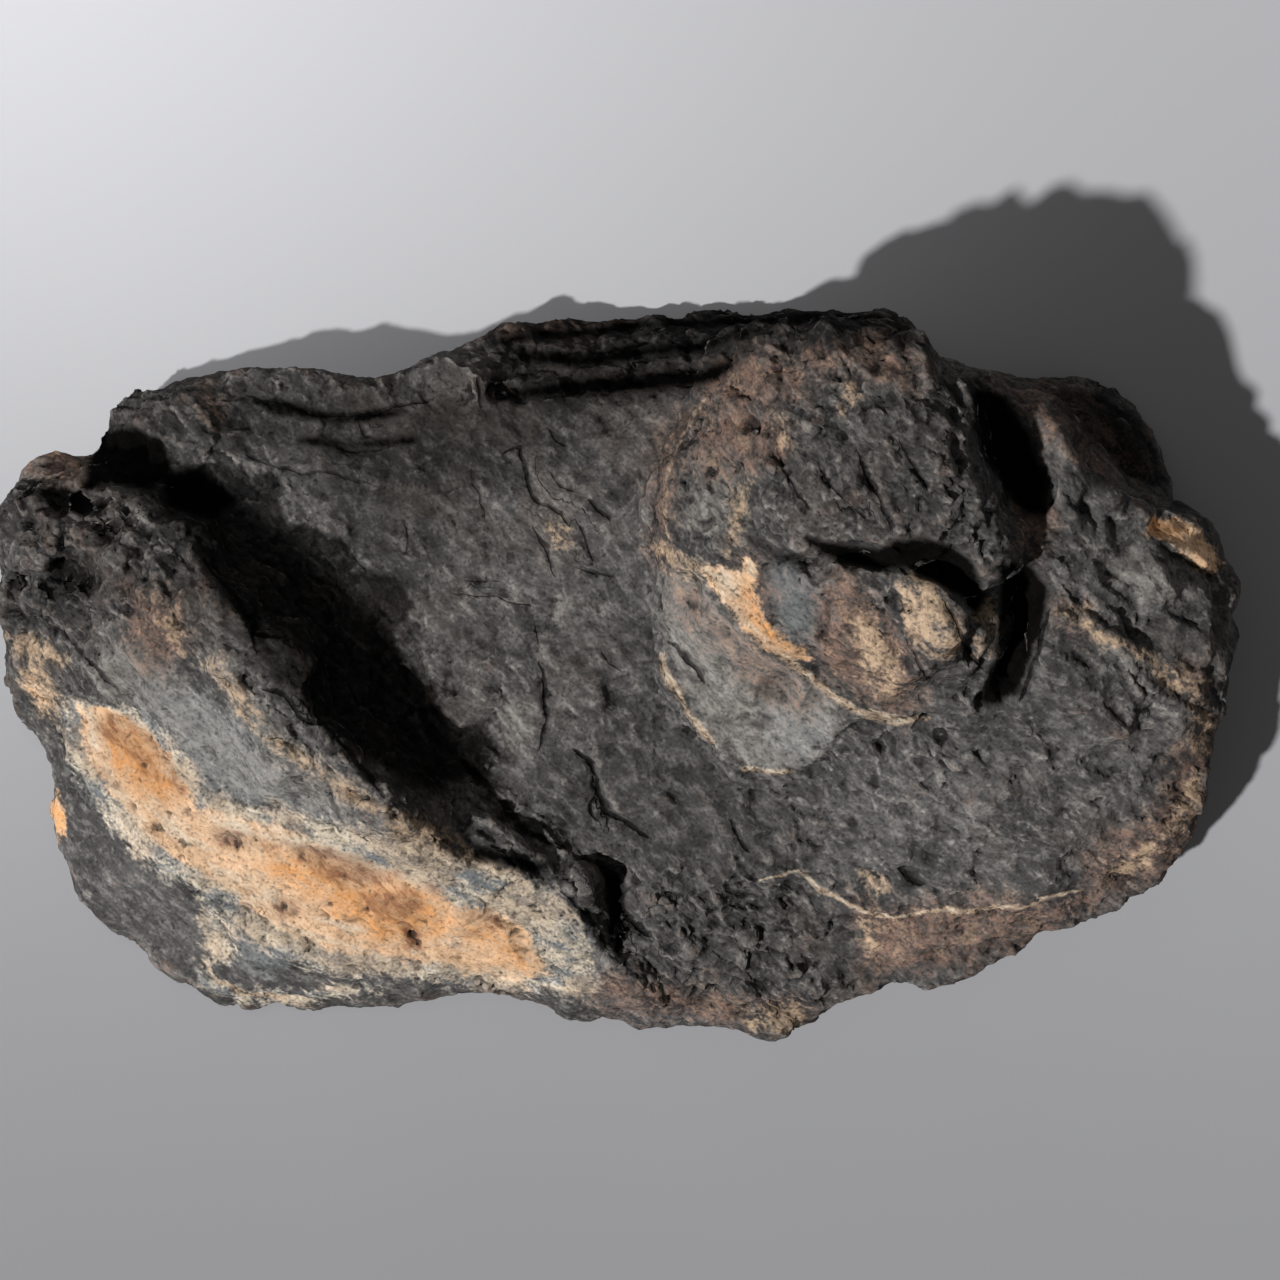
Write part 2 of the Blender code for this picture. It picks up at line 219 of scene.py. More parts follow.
# Bands of thin layers: depth in millimetres, spacing, waviness and edge fade in pixels, the way they run,
# outline.
LAYER_BANDS = {
    "back band": (2.0, 17, 7, 12, (1.0, -0.10), [
        (470, 335), (560, 312), (700, 303), (900, 305), (930, 345), (800, 350), (740, 372), (690, 398),
        (620, 404), (500, 404), (478, 370),
    ]),
    "upper plain": (0.9, 21, 9, 20, (1.0, 0.12), [
        (205, 380), (480, 378), (490, 450), (340, 490), (240, 470),
    ]),
    "back block": (1.3, 19, 6, 10, (1.0, 0.45), [
        (100, 390), (200, 378), (215, 440), (130, 475), (100, 440),
    ]),
    "peak flakes": (0.9, 15, 8, 24, (0.42, 0.9), [
        (770, 430), (900, 410), (985, 510), (900, 548), (770, 545),
    ]),
    "shaded wall": (1.6, 22, 10, 18, (0.75, 0.66), [
        (190, 480), (300, 540), (400, 640), (480, 770), (430, 810), (330, 740), (250, 640), (200, 560),
    ]),
    "front foot": (0.6, 11, 4, 8, (1.0, 0.03), [
        (230, 975), (500, 985), (700, 1000), (800, 1000), (790, 1030), (300, 1012),
    ]),
    "ridge end": (1.2, 18, 7, 10, (0.8, 0.6), [(440, 770), (560, 840), (610, 880), (560, 900), (470, 850)]),
    "collar face": (0.9, 18, 9, 20, (0.75, 0.66), [
        (1050, 450), (1200, 590), (1220, 730), (1100, 740), (1040, 620),
    ]),
}

# Cracks: half width and depth in millimetres, and the line in pixels.
CRACKS = {
    "slab long": (0.8, 1.6, [(505, 452), (522, 449), (525, 469), (534, 498), (562, 512), (568, 524)]),
    "slab top": (0.6, 1.0, [(548, 429), (556, 440), (568, 446)]),
    "slab east": (0.9, 1.4, [(588, 500), (600, 511), (612, 522)]),
    "slab middle": (0.6, 1.0, [(534, 527), (545, 547), (555, 576)]),
    "joint west": (0.4, 0.5, [(450, 594), (494, 597), (511, 604), (534, 604)]),
    "joint dash": (0.5, 0.8, [(465, 582), (499, 580)]),
    "joint dash east": (0.7, 1.0, [(580, 566), (598, 574), (616, 577)]),
    "shadow edge": (0.4, 0.6, [(405, 520), (408, 540), (408, 556)]),
    "chip line": (0.8, 1.4, [(540, 660), (546, 684), (545, 722), (538, 752)]),
    "chip line top": (0.4, 0.6, [(536, 622), (538, 646)]),
    "slab foot": (0.6, 1.0, [(548, 470), (560, 486), (574, 492)]),
    "slab side": (0.5, 0.9, [(578, 520), (590, 540), (592, 560)]),
    "slab west": (0.4, 0.7, [(470, 470), (480, 492), (486, 520)]),
    "plain fleck": (0.5, 0.8, [(600, 650), (610, 664), (622, 672)]),
    "south run": (1.0, 2.2, [(572, 748), (594, 763), (598, 790), (606, 810), (626, 824), (650, 840)]),
    "south run branch": (0.7, 1.5, [(598, 790), (590, 806), (600, 822)]),
    "wavy bed one": (0.8, 1.2, [(247, 395), (287, 403), (316, 415), (359, 415), (396, 406), (430, 398)]),
    "wavy bed two": (0.6, 1.0, [(359, 421), (364, 436), (382, 441), (416, 441)]),
    "wavy bed three": (0.5, 0.8, [(339, 449), (367, 452), (392, 446)]),
    "wavy bed four": (0.6, 0.9, [(244, 455), (301, 472), (339, 475), (372, 484)]),
    "slab corner": (0.8, 1.4, [(478, 376), (482, 392), (484, 408)]),
    "lower dash": (0.7, 1.4, [(730, 821), (738, 838), (749, 853)]),
    "slope dash": (1.0, 1.8, [(900, 869), (912, 877), (924, 884)]),
    "collar dash": (0.7, 1.3, [(1105, 700), (1114, 714), (1125, 726)]),
    "dome foot": (0.6, 1.0, [(666, 448), (658, 480), (655, 516), (648, 552)]),
    "apron crack": (1.0, 1.8, [(668, 642), (684, 655), (706, 682)]),
    "peak crack one": (0.7, 1.4, [(858, 452), (868, 480), (880, 505), (892, 534)]),
    "peak crack two": (0.6, 1.2, [(818, 466), (832, 484), (846, 505), (866, 520)]),
    "peak crack three": (0.6, 1.1, [(776, 450), (790, 478), (800, 500), (812, 512)]),
    "peak crack four": (0.5, 1.0, [(900, 440), (912, 466), (926, 490)]),
    "lobe crack": (0.8, 1.6, [(942, 599), (958, 622), (968, 650), (985, 668)]),
    "lobe seam": (0.6, 1.2, [(905, 640), (918, 662), (930, 680)]),
    "east crack": (0.9, 2.0, [(1050, 608), (1042, 640), (1031, 668), (1022, 700)]),
    "patch line": (0.8, 1.4, [(1158, 541), (1187, 561), (1216, 581)]),
    "end crevice": (1.2, 2.4, [(597, 861), (612, 878), (614, 898), (624, 927), (618, 953)]),
    "end branch": (0.8, 1.6, [(625, 915), (640, 928), (650, 938)]),
    "end crack": (0.8, 1.5, [(560, 890), (588, 915), (608, 950)]),
    "knob crevice": (1.6, 3.0, [(18, 500), (34, 486), (60, 492), (95, 507), (112, 500)]),
    "slope line": (0.8, 1.2, [(60, 630), (84, 655), (120, 692)]),
    "ridge wedge": (1.6, 2.6, [(462, 760), (500, 800), (530, 832), (562, 847)]),
    "crest notch": (0.8, 1.5, [(262, 688), (282, 694), (300, 716), (320, 726)]),
    "shaded seam one": (1.0, 1.8, [(205, 560), (232, 592), (252, 622), (258, 652)]),
    "shaded seam two": (1.0, 1.6, [(300, 700), (340, 742), (372, 776), (384, 800)]),
}

# Pits: radius in pixels, depth in millimetres, place in pixels.
PITS = {
    "knob pits": [
        (11, 2.2, 37, 527), (14, 2.6, 106, 529), (13, 3.0, 18, 580), (9, 2.0, 46, 592), (8, 1.6, 62, 548),
    ],
    "knob oval": [(24, 1.8, 78, 574)],
    "knob back pits": [(10, 2.4, 60, 506), (12, 2.4, 84, 500), (9, 2.0, 128, 520)],
    "peak pit": [
        (10, 2.4, 750, 426), (6, 1.4, 690, 500), (6, 1.2, 712, 470), (5, 1.2, 738, 468), (6, 1.2, 790, 420),
    ],
    "ochre pits": [
        (7, 1.1, 226, 839), (9, 1.4, 240, 843), (5, 0.8, 254, 840), (4, 1.0, 281, 907), (5, 1.1, 364, 913),
        (5, 1.4, 413, 936), (3, 0.9, 417, 944), (3, 0.8, 330, 905), (3, 0.7, 142, 765), (3, 0.6, 128, 738),
    ],
    "east pits": [(7, 1.6, 968, 690), (8, 1.6, 985, 700), (7, 1.3, 940, 735), (6, 1.2, 880, 745)],
    "slab hole": [(11, 2.4, 500, 390), (8, 1.6, 520, 398)],
    "edge pits": [(5, 1.0, 262, 938), (6, 1.0, 478, 982), (5, 0.9, 418, 966), (6, 1.2, 360, 988)],
}

# Lumps: half length, half width, turn in degrees, height in millimetres, place in pixels.
LUMPS = {
    "knob lumps": [
        (24, 15, 20, 1.6, 30, 555), (20, 14, -30, 1.8, 118, 552), (18, 12, 10, 1.4, 62, 528),
        (16, 12, 0, 1.5, 148, 512),
    ],
    "crest knobs": [
        (15, 11, 40, 1.5, 222, 672), (12, 9, 40, 1.4, 238, 694), (14, 9, 40, 1.2, 274, 742),
        (16, 9, 40, 1.2, 306, 770), (14, 9, 40, 1.2, 344, 800), (10, 8, 40, 1.2, 382, 820),
        (14, 10, 60, 1.3, 212, 610), (16, 10, 60, 1.4, 286, 648),
    ],
    "end block": [(20, 17, 0, 1.8, 582, 880), (26, 9, 35, 1.2, 508, 838), (14, 9, 20, 1.0, 540, 860)],
    "peak lumps": [
        (20, 14, 60, 1.3, 700, 500), (17, 12, 30, 1.2, 728, 445), (18, 12, -20, 1.2, 772, 385),
        (20, 12, 0, 1.0, 850, 360),
    ],
    "lobe lumps": [
        (16, 12, 50, 1.3, 835, 612), (18, 11, 50, 1.2, 872, 640), (16, 10, 50, 1.0, 895, 668),
        (9, 20, 10, 1.0, 984, 622),
    ],
    "east flank": [
        (40, 12, 35, 1.2, 1110, 640), (34, 10, 35, 1.0, 1160, 700), (18, 12, 30, 1.0, 1078, 620),
    ],
    "gully blocks": [
        (18, 12, 10, 1.5, 660, 905), (16, 10, -20, 1.3, 690, 950), (18, 12, 0, 1.2, 740, 940),
        (14, 9, 20, 1.2, 650, 985),
    ],
}

# Ledges, where a thin sheet of rock ends: drop in millimetres, its run-out in pixels, the line. The rock on
# the line's right-hand side, seen along it from its first point, lies lower.
LEDGES = {
    "joint ledge": (0.7, 40, [(603, 611), (562, 601), (534, 604), (494, 597), (448, 593)]),
    "chip ledge": (0.6, 22, [(488, 683), (505, 735), (520, 752), (538, 748), (546, 700), (536, 664)]),
    "slab ledge": (0.8, 40, [(505, 452), (525, 469), (534, 498), (562, 512)]),
    "south ledge": (1.0, 36, [(572, 748), (594, 763), (600, 792), (626, 824)]),
    "apron ledge": (1.3, 26, [(662, 662), (669, 682), (683, 703), (704, 734), (724, 757)]),
    "apron foot": (1.2, 24, [(742, 768), (789, 775), (822, 755), (842, 731), (866, 718)]),
    "knob shelf": (1.5, 26, [(90, 466), (69, 480), (40, 481), (16, 484)]),
    "vein ledge": (0.6, 18, [
        (758, 878), (804, 879), (829, 895), (863, 916), (937, 912), (1033, 904), (1085, 892),
    ]),
    "brow ledge": (0.7, 24, [(1150, 532), (1187, 556), (1222, 580)]),
}

# How much brighter or darker each region is painted, against 1 elsewhere, and how wide the change is in
# pixels.
# The shaded wall, the back band, the east hollow and in part the upper plain are painted shade.
TONES_AND_PAINTED_SHADE = {
    # Partly darker slate and partly painted shade, where the plain slopes away from the light.
    "upper plain": (0.44, 80, [
        (100, 385), (300, 372), (480, 378), (640, 395), (560, 440), (470, 500), (380, 530), (300, 470),
        (200, 440), (110, 450),
    ]),
    # Painted shade: the back band slopes away from the light, and the shadows between its layers are darkened
    # here.
    "back band": (0.31, 24, [
        (480, 330), (560, 312), (700, 303), (900, 305), (930, 345), (800, 350), (740, 368), (700, 395),
        (620, 404), (500, 404),
    ]),
    "plain south": (0.86, 70, [
        (560, 780), (640, 760), (800, 800), (830, 880), (760, 960), (640, 960), (580, 880),
    ]),
    "peak top": (0.84, 40, [
        (780, 420), (900, 400), (975, 430), (1000, 520), (960, 545), (860, 530), (770, 520),
    ]),
    "knob": (0.67, 24, [(0, 490), (60, 470), (150, 490), (180, 545), (140, 600), (60, 630), (0, 640)]),
    "crest": (0.70, 30, [
        (110, 490), (170, 510), (225, 585), (262, 650), (300, 716), (270, 730), (190, 650), (130, 580),
    ]),
    # Painted shadow: the ridge casts its shadow over its shaded wall and the plain beside it, and that shadow
    # is darkened here.
    "shaded wall": (0.13, 30, [
        (110, 470), (200, 470), (300, 540), (400, 640), (480, 770), (430, 800), (330, 740), (262, 670),
        (190, 550),
    ]),
    "apron": (1.25, 10, APRON),
    "lobe": (1.2, 20, [(800, 570), (900, 580), (950, 640), (930, 700), (860, 700), (810, 660)]),
    "south": (1.28, 60, [(840, 870), (1150, 840), (1080, 910), (960, 950), (840, 980)]),
    "south slope": (1.27, 60, [(820, 760), (1180, 720), (1150, 850), (840, 870)]),
    "plain": (1.12, 60, [(480, 500), (640, 480), (650, 700), (560, 760), (470, 700), (420, 600)]),
    "dome west": (0.90, 30, [
        (680, 440), (760, 340), (800, 340), (790, 420), (770, 540), (700, 560), (664, 530),
    ]),
    "tan spot": (1.25, 10, [(900, 582), (932, 580), (956, 626), (952, 654), (920, 640), (900, 610)]),
    "ochre middle": (1.06, 30, [
        (190, 810), (300, 830), (420, 880), (520, 930), (520, 970), (330, 940), (210, 870),
    ]),
    "low facet": (1.28, 20, [
        (50, 800), (110, 810), (215, 910), (300, 970), (300, 1005), (150, 970), (60, 870),
    ]),
    "back block": (0.62, 20, [(96, 400), (150, 380), (205, 376), (215, 440), (180, 470), (100, 460)]),
    "lit slope": (1.08, 20, [(160, 650), (236, 660), (350, 790), (400, 840), (300, 812), (200, 790)]),
    "ochre left": (0.93, 16, [(84, 706), (149, 730), (190, 800), (160, 830), (104, 786)]),
    "knob oval": (0.40, 12, [(46, 556), (78, 548), (104, 566), (98, 596), (64, 600), (42, 580)]),
    "front strip": (1.28, 8, [(300, 962), (420, 976), (560, 978), (560, 1000), (300, 1003)]),
    # Painted shade: the hollow behind the collar lies in the shadow of the dome and the collar.
    "east hollow painted shade": (0.30, 12, [
        (1050, 390), (1100, 392), (1140, 420), (1168, 480), (1150, 490), (1100, 450), (1060, 410),
    ]),
    "collar patch": (1.35, 8, [
        (1144, 516), (1176, 514), (1204, 530), (1228, 568), (1216, 582), (1180, 556), (1146, 538),
    ]),
    "collar": (1.18, 30, [(1060, 440), (1160, 520), (1226, 560), (1236, 660), (1120, 700), (1060, 600)]),
}

# Stains and minerals, and the painted shadow of the deepest hollows: areas that take a colour, as outlines
# and as strokes of a half width, all in pixels.
STAINS_AND_PAINTED_SHADOW = {
    "ochre": {
        "areas": [
            [(78, 706), (100, 708), (125, 716), (149, 731), (170, 756), (184, 786), (200, 810), (233, 815),
             (272, 824), (310, 838), (349, 854), (388, 868), (426, 884), (459, 904), (500, 916), (530, 932),
             (552, 975), (520, 981), (478, 974), (426, 964), (388, 953), (330, 950), (300, 938), (265, 915),
             (233, 893), (201, 875), (165, 850), (132, 820), (104, 786), (86, 742)],
            [(704, 570), (722, 566), (738, 572), (747, 558), (757, 562), (756, 590), (764, 618), (782, 640),
             (806, 650), (812, 662), (792, 662), (768, 648), (744, 628), (724, 604), (710, 584)],
            [(1148, 520), (1175, 518), (1198, 531), (1213, 550), (1223, 568), (1216, 577), (1200, 569),
             (1186, 555), (1166, 541), (1150, 535)],
            [(50, 800), (58, 792), (66, 812), (64, 836), (54, 842)],
        ],
        "strokes": [
            (5, [(48, 446), (62, 444)]),
            (4, [(30, 680), (42, 700), (50, 716)]),
        ],
    },
    "amber": {
        "areas": [
            [(96, 724), (120, 722), (148, 738), (166, 762), (178, 792), (160, 804), (132, 790), (110, 764)],
            [(330, 884), (380, 880), (420, 888), (462, 916), (440, 938), (380, 936), (330, 918)],
            [(270, 850), (320, 862), (350, 880), (310, 890), (262, 872)],
            [
                (742, 586), (756, 590), (766, 620), (786, 642), (806, 652), (790, 658), (764, 642),
                (746, 618),
            ],
            [(1146, 520), (1166, 519), (1172, 530), (1150, 532)],
        ],
        "strokes": [(6, [(470, 930), (500, 946), (530, 960)]), (5, [(52, 800), (60, 820), (58, 838)])],
    },
    "umber": {
        "areas": [
            [(214, 832), (236, 832), (262, 838), (286, 842), (280, 850), (250, 848), (224, 846)],
            [(296, 848), (340, 848), (390, 866), (400, 884), (370, 888), (330, 874), (300, 862)],
            [(276, 898), (300, 900), (300, 912), (280, 912)],
            [(360, 892), (400, 890), (424, 906), (400, 920), (368, 910)],
            [(404, 926), (424, 930), (424, 946), (408, 944)],
        ],
        "strokes": [
            (2, [(108, 718), (132, 726), (154, 744), (170, 768), (182, 792)]),
            (2, [(100, 728), (124, 738), (144, 756), (156, 778)]),
            (2, [(430, 884), (460, 908), (496, 924)]),
            (2, [(140, 756), (146, 768), (142, 780)]),
        ],
    },
    "cream": {
        "areas": [
            [(64, 702), (92, 698), (130, 708), (165, 726), (188, 760), (204, 794), (240, 802), (300, 814),
             (360, 830), (420, 850), (470, 864), (520, 876), (552, 892), (580, 924), (594, 954), (598, 984),
             (580, 992), (540, 992), (470, 987), (420, 978), (360, 974), (300, 966), (262, 945), (236, 925),
             (205, 903), (170, 878), (130, 848), (100, 812), (76, 776), (64, 735)],
            [(200, 962), (214, 978), (246, 992), (300, 992), (360, 984), (380, 992), (300, 1003),
             (240, 1002), (205, 988)],
            [(204, 904), (228, 916), (236, 950), (226, 966), (208, 940)],
        ],
        "strokes": [],
    },
    "tan": {
        "areas": [
            [(898, 582), (914, 574), (932, 580), (946, 600), (956, 626), (959, 648), (948, 656), (930, 650),
             (914, 640), (902, 624), (896, 602)],
            [(26, 674), (40, 672), (56, 700), (52, 722), (38, 712), (28, 694)],
            [(8, 636), (30, 632), (62, 652), (70, 664), (40, 662), (16, 656)],
            [(984, 598), (993, 604), (991, 628), (983, 648), (975, 656), (974, 636), (979, 614)],
            [(742, 1006), (800, 1004), (792, 1028), (746, 1030)],
            [(862, 874), (884, 878), (886, 892), (868, 892)],
            [(386, 806), (420, 824), (470, 852), (520, 874), (500, 888), (440, 866), (396, 842)],
            [(856, 622), (878, 626), (898, 656), (900, 690), (880, 690), (862, 660)],
        ],
        "strokes": [
            (7, [(206, 662), (232, 688), (258, 722)]),
            (7, [(272, 742), (304, 762), (340, 788), (372, 808)]),
            (2, [(752, 484), (742, 504), (736, 526), (728, 552)]),
            (3, [(846, 386), (850, 402), (842, 412)]),
            (5, [(1062, 612), (1084, 622), (1100, 640)]),
            (3, [(1120, 640), (1150, 662), (1176, 690)]),
            (4, [(1190, 690), (1206, 712), (1196, 744)]),
            (3, [(780, 424), (786, 440)]),
            (3, [(556, 528), (566, 542)]),
            (4, [(145, 590), (165, 610), (178, 640), (190, 662)]),
            (6, [(658, 548), (676, 556), (700, 570), (712, 580)]),
            (4, [(864, 924), (870, 950)]),
            (4, [(1110, 870), (1140, 860), (1176, 826), (1196, 780)]),
        ],
    },
    "rust": {
        "areas": [
            [
                (716, 366), (770, 346), (812, 370), (800, 400), (756, 406), (706, 410), (690, 440),
                (676, 450),
            ],
            [(786, 340), (880, 338), (925, 360), (912, 384), (860, 376), (800, 368)],
            [(812, 596), (860, 590), (905, 632), (920, 680), (900, 712), (862, 700), (828, 670)],
            [
                (1200, 700), (1218, 720), (1202, 800), (1192, 840), (1150, 880), (1080, 900), (1100, 860),
                (1160, 800),
            ],
            [(1020, 510), (1046, 516), (1048, 556), (1024, 560)],
            [(30, 452), (70, 438), (96, 452), (84, 470), (40, 474)],
            [(850, 900), (900, 905), (1060, 900), (1120, 885), (1050, 930), (940, 960), (870, 970)],
            [(740, 560), (760, 556), (774, 590), (770, 630), (752, 610)],
            [(130, 584), (168, 596), (190, 650), (164, 674), (132, 636)],
            [(690, 430), (740, 410), (790, 430), (780, 460), (740, 470), (700, 470)],
            [(560, 960), (640, 980), (720, 1000), (800, 1004), (720, 1026), (600, 1010)],
        ],
        "strokes": [
            (7, [
                (740, 364), (714, 390), (694, 420), (678, 442), (668, 470), (663, 500), (664, 530),
                (658, 556),
            ]),
            (4, [(207, 389), (212, 409), (224, 435)]),
            (4, [(1020, 400), (1040, 410), (1072, 432), (1088, 452), (1110, 474)]),
            (4, [(1038, 390), (1060, 400), (1090, 420), (1120, 450), (1140, 470)]),
            (5, [(1184, 672), (1198, 686), (1213, 684)]),
            (5, [(500, 334), (540, 322), (594, 317), (623, 313)]),
            (6, [(1062, 606), (1074, 626), (1092, 640)]),
            (12, [(688, 596), (724, 640), (766, 680), (800, 706)]),
        ],
    },
    "bluegrey": {
        "areas": [
            [(130, 680), (190, 690), (216, 700), (246, 732), (272, 770), (300, 800), (345, 820), (380, 840),
             (300, 820), (240, 804), (200, 792), (186, 762), (150, 724)],
            [(762, 562), (800, 564), (820, 600), (813, 645), (790, 640), (765, 604)],
            [(473, 893), (510, 896), (524, 914), (500, 922), (478, 908)],
            [(560, 900), (596, 926), (612, 956), (600, 976), (570, 950)],
            [(232, 918), (286, 930), (300, 958), (270, 975), (240, 960)],
            [(620, 1008), (700, 1012), (722, 1026), (640, 1022)],
            [(70, 770), (96, 780), (112, 812), (90, 806)],
            [(760, 700), (820, 716), (836, 736), (800, 766), (770, 744)],
        ],
        "strokes": [(5, [(560, 990), (620, 1004), (700, 1018)])],
    },
    "pale_and_highlight": {
        "areas": [
            [(500, 690), (520, 694), (532, 716), (526, 748), (508, 750), (500, 722)],
            [(100, 650), (170, 655), (206, 700), (250, 742), (330, 806), (400, 850), (250, 800), (190, 770),
             (150, 720), (90, 700)],
            [
                (660, 574), (705, 575), (760, 655), (850, 712), (800, 765), (745, 765), (705, 735),
                (668, 660),
            ],
            [(540, 890), (604, 930), (620, 960), (604, 985), (560, 970), (530, 930)],
            [(190, 640), (236, 650), (262, 696), (300, 742), (350, 784), (384, 812), (350, 820), (300, 792),
             (262, 752), (226, 708)],
            [(1087, 544), (1130, 547), (1173, 567), (1201, 584), (1200, 610), (1140, 590)],
            [(700, 452), (740, 460), (742, 500), (716, 540), (680, 530)],
        ],
        "strokes": [
            (3, [(470, 600), (494, 600), (534, 602), (603, 607)]),
            (3, [(545, 616), (541, 660), (536, 690)]),
            (2, [(190, 690), (236, 730), (272, 766)]),
            # Painted highlight: a pale streak along the lit edge of a ledge at the ridge's end.
            (3, [(456, 784), (500, 830), (557, 850)]),
            (6, [(1066, 612), (1110, 644), (1160, 700), (1192, 742)]),
            (4, [(24, 484), (60, 478), (88, 478)]),
            (4, [(104, 480), (128, 494), (146, 502)]),
            (3, [(744, 766), (790, 771), (810, 757), (836, 736), (860, 720)]),
        ],
    },
    "lime": {
        "areas": [
            [(186, 806), (216, 816), (262, 822), (318, 836), (372, 852), (430, 876), (470, 902), (430, 888),
             (376, 866), (320, 850), (262, 838), (222, 838), (200, 828)],
            [(704, 570), (726, 567), (738, 580), (738, 606), (726, 600), (712, 584)],
        ],
        "strokes": [
            (3, [(150, 800), (190, 846), (240, 884), (300, 914), (360, 930)]),
            (3, [(90, 716), (96, 756), (118, 792), (150, 826)]),
        ],
    },
    # Painted shadow: near black where cast shadow fills the deep hollows, gullies and crevices behind the
    # knob, under the peak's lip, beside the dome and at the ridge's end.
    "painted_shadow": {
        "areas": [
            [(96, 430), (130, 426), (164, 440), (172, 470), (150, 490), (100, 486), (84, 492)],
            [(160, 474), (200, 468), (240, 500), (210, 520), (168, 506)],
            [(806, 538), (830, 542), (856, 545), (880, 548), (897, 539), (926, 538), (950, 546), (970, 560),
             (988, 594), (976, 610), (958, 594), (934, 580), (905, 570), (880, 570), (845, 562),
             (820, 552)],
            [(970, 384), (1004, 396), (1026, 430), (1047, 482), (1046, 512), (1026, 514), (1000, 486),
             (982, 454), (974, 420)],
            [(998, 562), (1030, 562), (1048, 586), (1042, 630), (1018, 690), (990, 708), (978, 700),
             (996, 660), (1000, 610)],
            [(30, 490), (66, 488), (96, 502), (92, 514), (50, 508)],
            [(596, 860), (618, 876), (628, 928), (618, 956), (606, 930), (606, 890)],
            [(464, 836), (510, 854), (552, 864), (540, 876), (480, 860)],
        ],
        # Painted shadow lines between the thin layers of the back band and the upper plain, and in the groove
        # under the peak's lip.
        "strokes": [
            (7, [(505, 396), (560, 388), (620, 384), (700, 378), (730, 366)]),
            (6, [(520, 356), (580, 362), (640, 352), (700, 346), (760, 330)]),
            (4, [(500, 340), (560, 334), (640, 326), (720, 322), (820, 318), (880, 318)]),
            (4, [(749, 538), (764, 548), (781, 560), (801, 557)]),
            (5, [(240, 400), (290, 408), (340, 420), (400, 412)]),
            (4, [(300, 440), (350, 446), (420, 440)]),
        ],
    },
}

# Thin mineral lines: the half width in pixels, how strongly it shows, and the line.
VEINS = {
    "peak vein": (3.7, 1, [
        (716, 584), (734, 610), (752, 630), (790, 662), (818, 684), (846, 704), (858, 712), (900, 722),
        (930, 718),
    ]),
    "dome rim": (1.5, 0.5, [(712, 392), (694, 416), (678, 444), (667, 476), (664, 508), (667, 544)]),
    "apron rim": (3.0, 1, [(661, 655), (668, 680), (683, 702), (702, 730), (714, 744)]),
    "apron foot": (1.8, 1, [(742, 768), (770, 773), (796, 772)]),
    "south vein": (2.0, 1, [
        (758, 880), (800, 872), (815, 885), (850, 905), (880, 917), (930, 912), (980, 910), (1020, 905),
        (1060, 895), (1085, 890),
    ]),
    "edge line": (1.6, 1, [(1166, 672), (1185, 680), (1213, 683)]),
    "low lip": (2.2, 1, [(205, 964), (216, 980), (246, 993), (292, 997)]),
}


def lengths(points):
    """How long each arrow is."""
    return np.sqrt((points * points).sum(axis=-1))


def smooth_step(value, low, high):
    """0 up to low, 1 from high, and a smooth rise between. With low above high it falls."""
    share = np.clip((value - low) / (high - low), 0, 1)
    return share * share * (3 - 2 * share)


def in_photo(places):
    """The pixel of the photograph at which each place shows."""
    seen = (places - np.array(EYE)) @ np.array(VIEW_TURN)
    across = PHOTO_SIDE / 2 + FOCAL_PIXELS * seen[:, 0] / -seen[:, 2]
    down = PHOTO_SIDE / 2 - FOCAL_PIXELS * seen[:, 1] / -seen[:, 2]
    return np.stack([across, down], axis=1)


def toward_eye(places, normals):
    """1 where a surface faces the photograph's camera, 0 where it turns away."""
    way = np.array(EYE) - places
    way /= lengths(way)[:, None]
    return smooth_step((way * normals).sum(axis=1), -0.15, 0.2)


def near(pixels, points, reach):
    """The points as an array, and which pixels lie within reach of their box."""
    points = np.array(points, float)
    low = points.min(axis=0) - reach
    high = points.max(axis=0) + reach
    return points, np.flatnonzero(((pixels > low) & (pixels < high)).all(axis=1))


def along_line(pixels, points):
    """Each pixel's signed distance from a line, positive on its right, and the share of it gone by there."""
    runs = lengths(np.diff(points, axis=0))
    gone = np.concatenate([[0], np.cumsum(runs)]) / runs.sum()
    best = np.full(len(pixels), 1e9)
    side = np.ones(len(pixels))
    share = np.zeros(len(pixels))
    for i, (a, b) in enumerate(zip(points, points[1:])):
        run = b - a
        part = np.clip((pixels - a) @ run / (run @ run), 0, 1)
        away = pixels - a - part[:, None] * run
        distance = lengths(away)
        closer = distance < best
        best[closer] = distance[closer]
        turn = run[0] * away[:, 1] - run[1] * away[:, 0]
        side[closer] = np.where(turn[closer] < 0, -1, 1)
        share[closer] = (gone[i] + part * (gone[i + 1] - gone[i]))[closer]
    return best * side, share


def inside_depth(pixels, points):
    """How deep each pixel lies inside an outline, below zero outside it."""
    loop = np.concatenate([points, points[:1]])
    edge = np.abs(along_line(pixels, loop)[0])
    inside = np.zeros(len(pixels), bool)
    for a, b in zip(loop, loop[1:]):
        spans = (a[1] > pixels[:, 1]) != (b[1] > pixels[:, 1])
        cross_at = a[0] + (pixels[:, 1] - a[1]) * (b[0] - a[0]) / (b[1] - a[1] if b[1] != a[1] else 1)
        inside ^= spans & (pixels[:, 0] < cross_at)
    return np.where(inside, edge, -edge)


def rough(places, length, octaves=3, shift=0.0):
    """Smooth random values, about -1 to 1, that change over a length in metres."""
    return np.array([noise.fractal(p, 1.0, 2.0, octaves) for p in (places / length + shift).tolist()])


def rough_arrows(places, length, shifts):
    """Smooth random arrows, with an axis for each shift."""
    return np.stack([rough(places, length, 2, shift) for shift in shifts], axis=1)


def taper(share, steepness=4):
    """0 at both ends of a line and 1 at its middle."""
    return np.sqrt(np.clip(steepness * share * (1 - share), 0, 1))


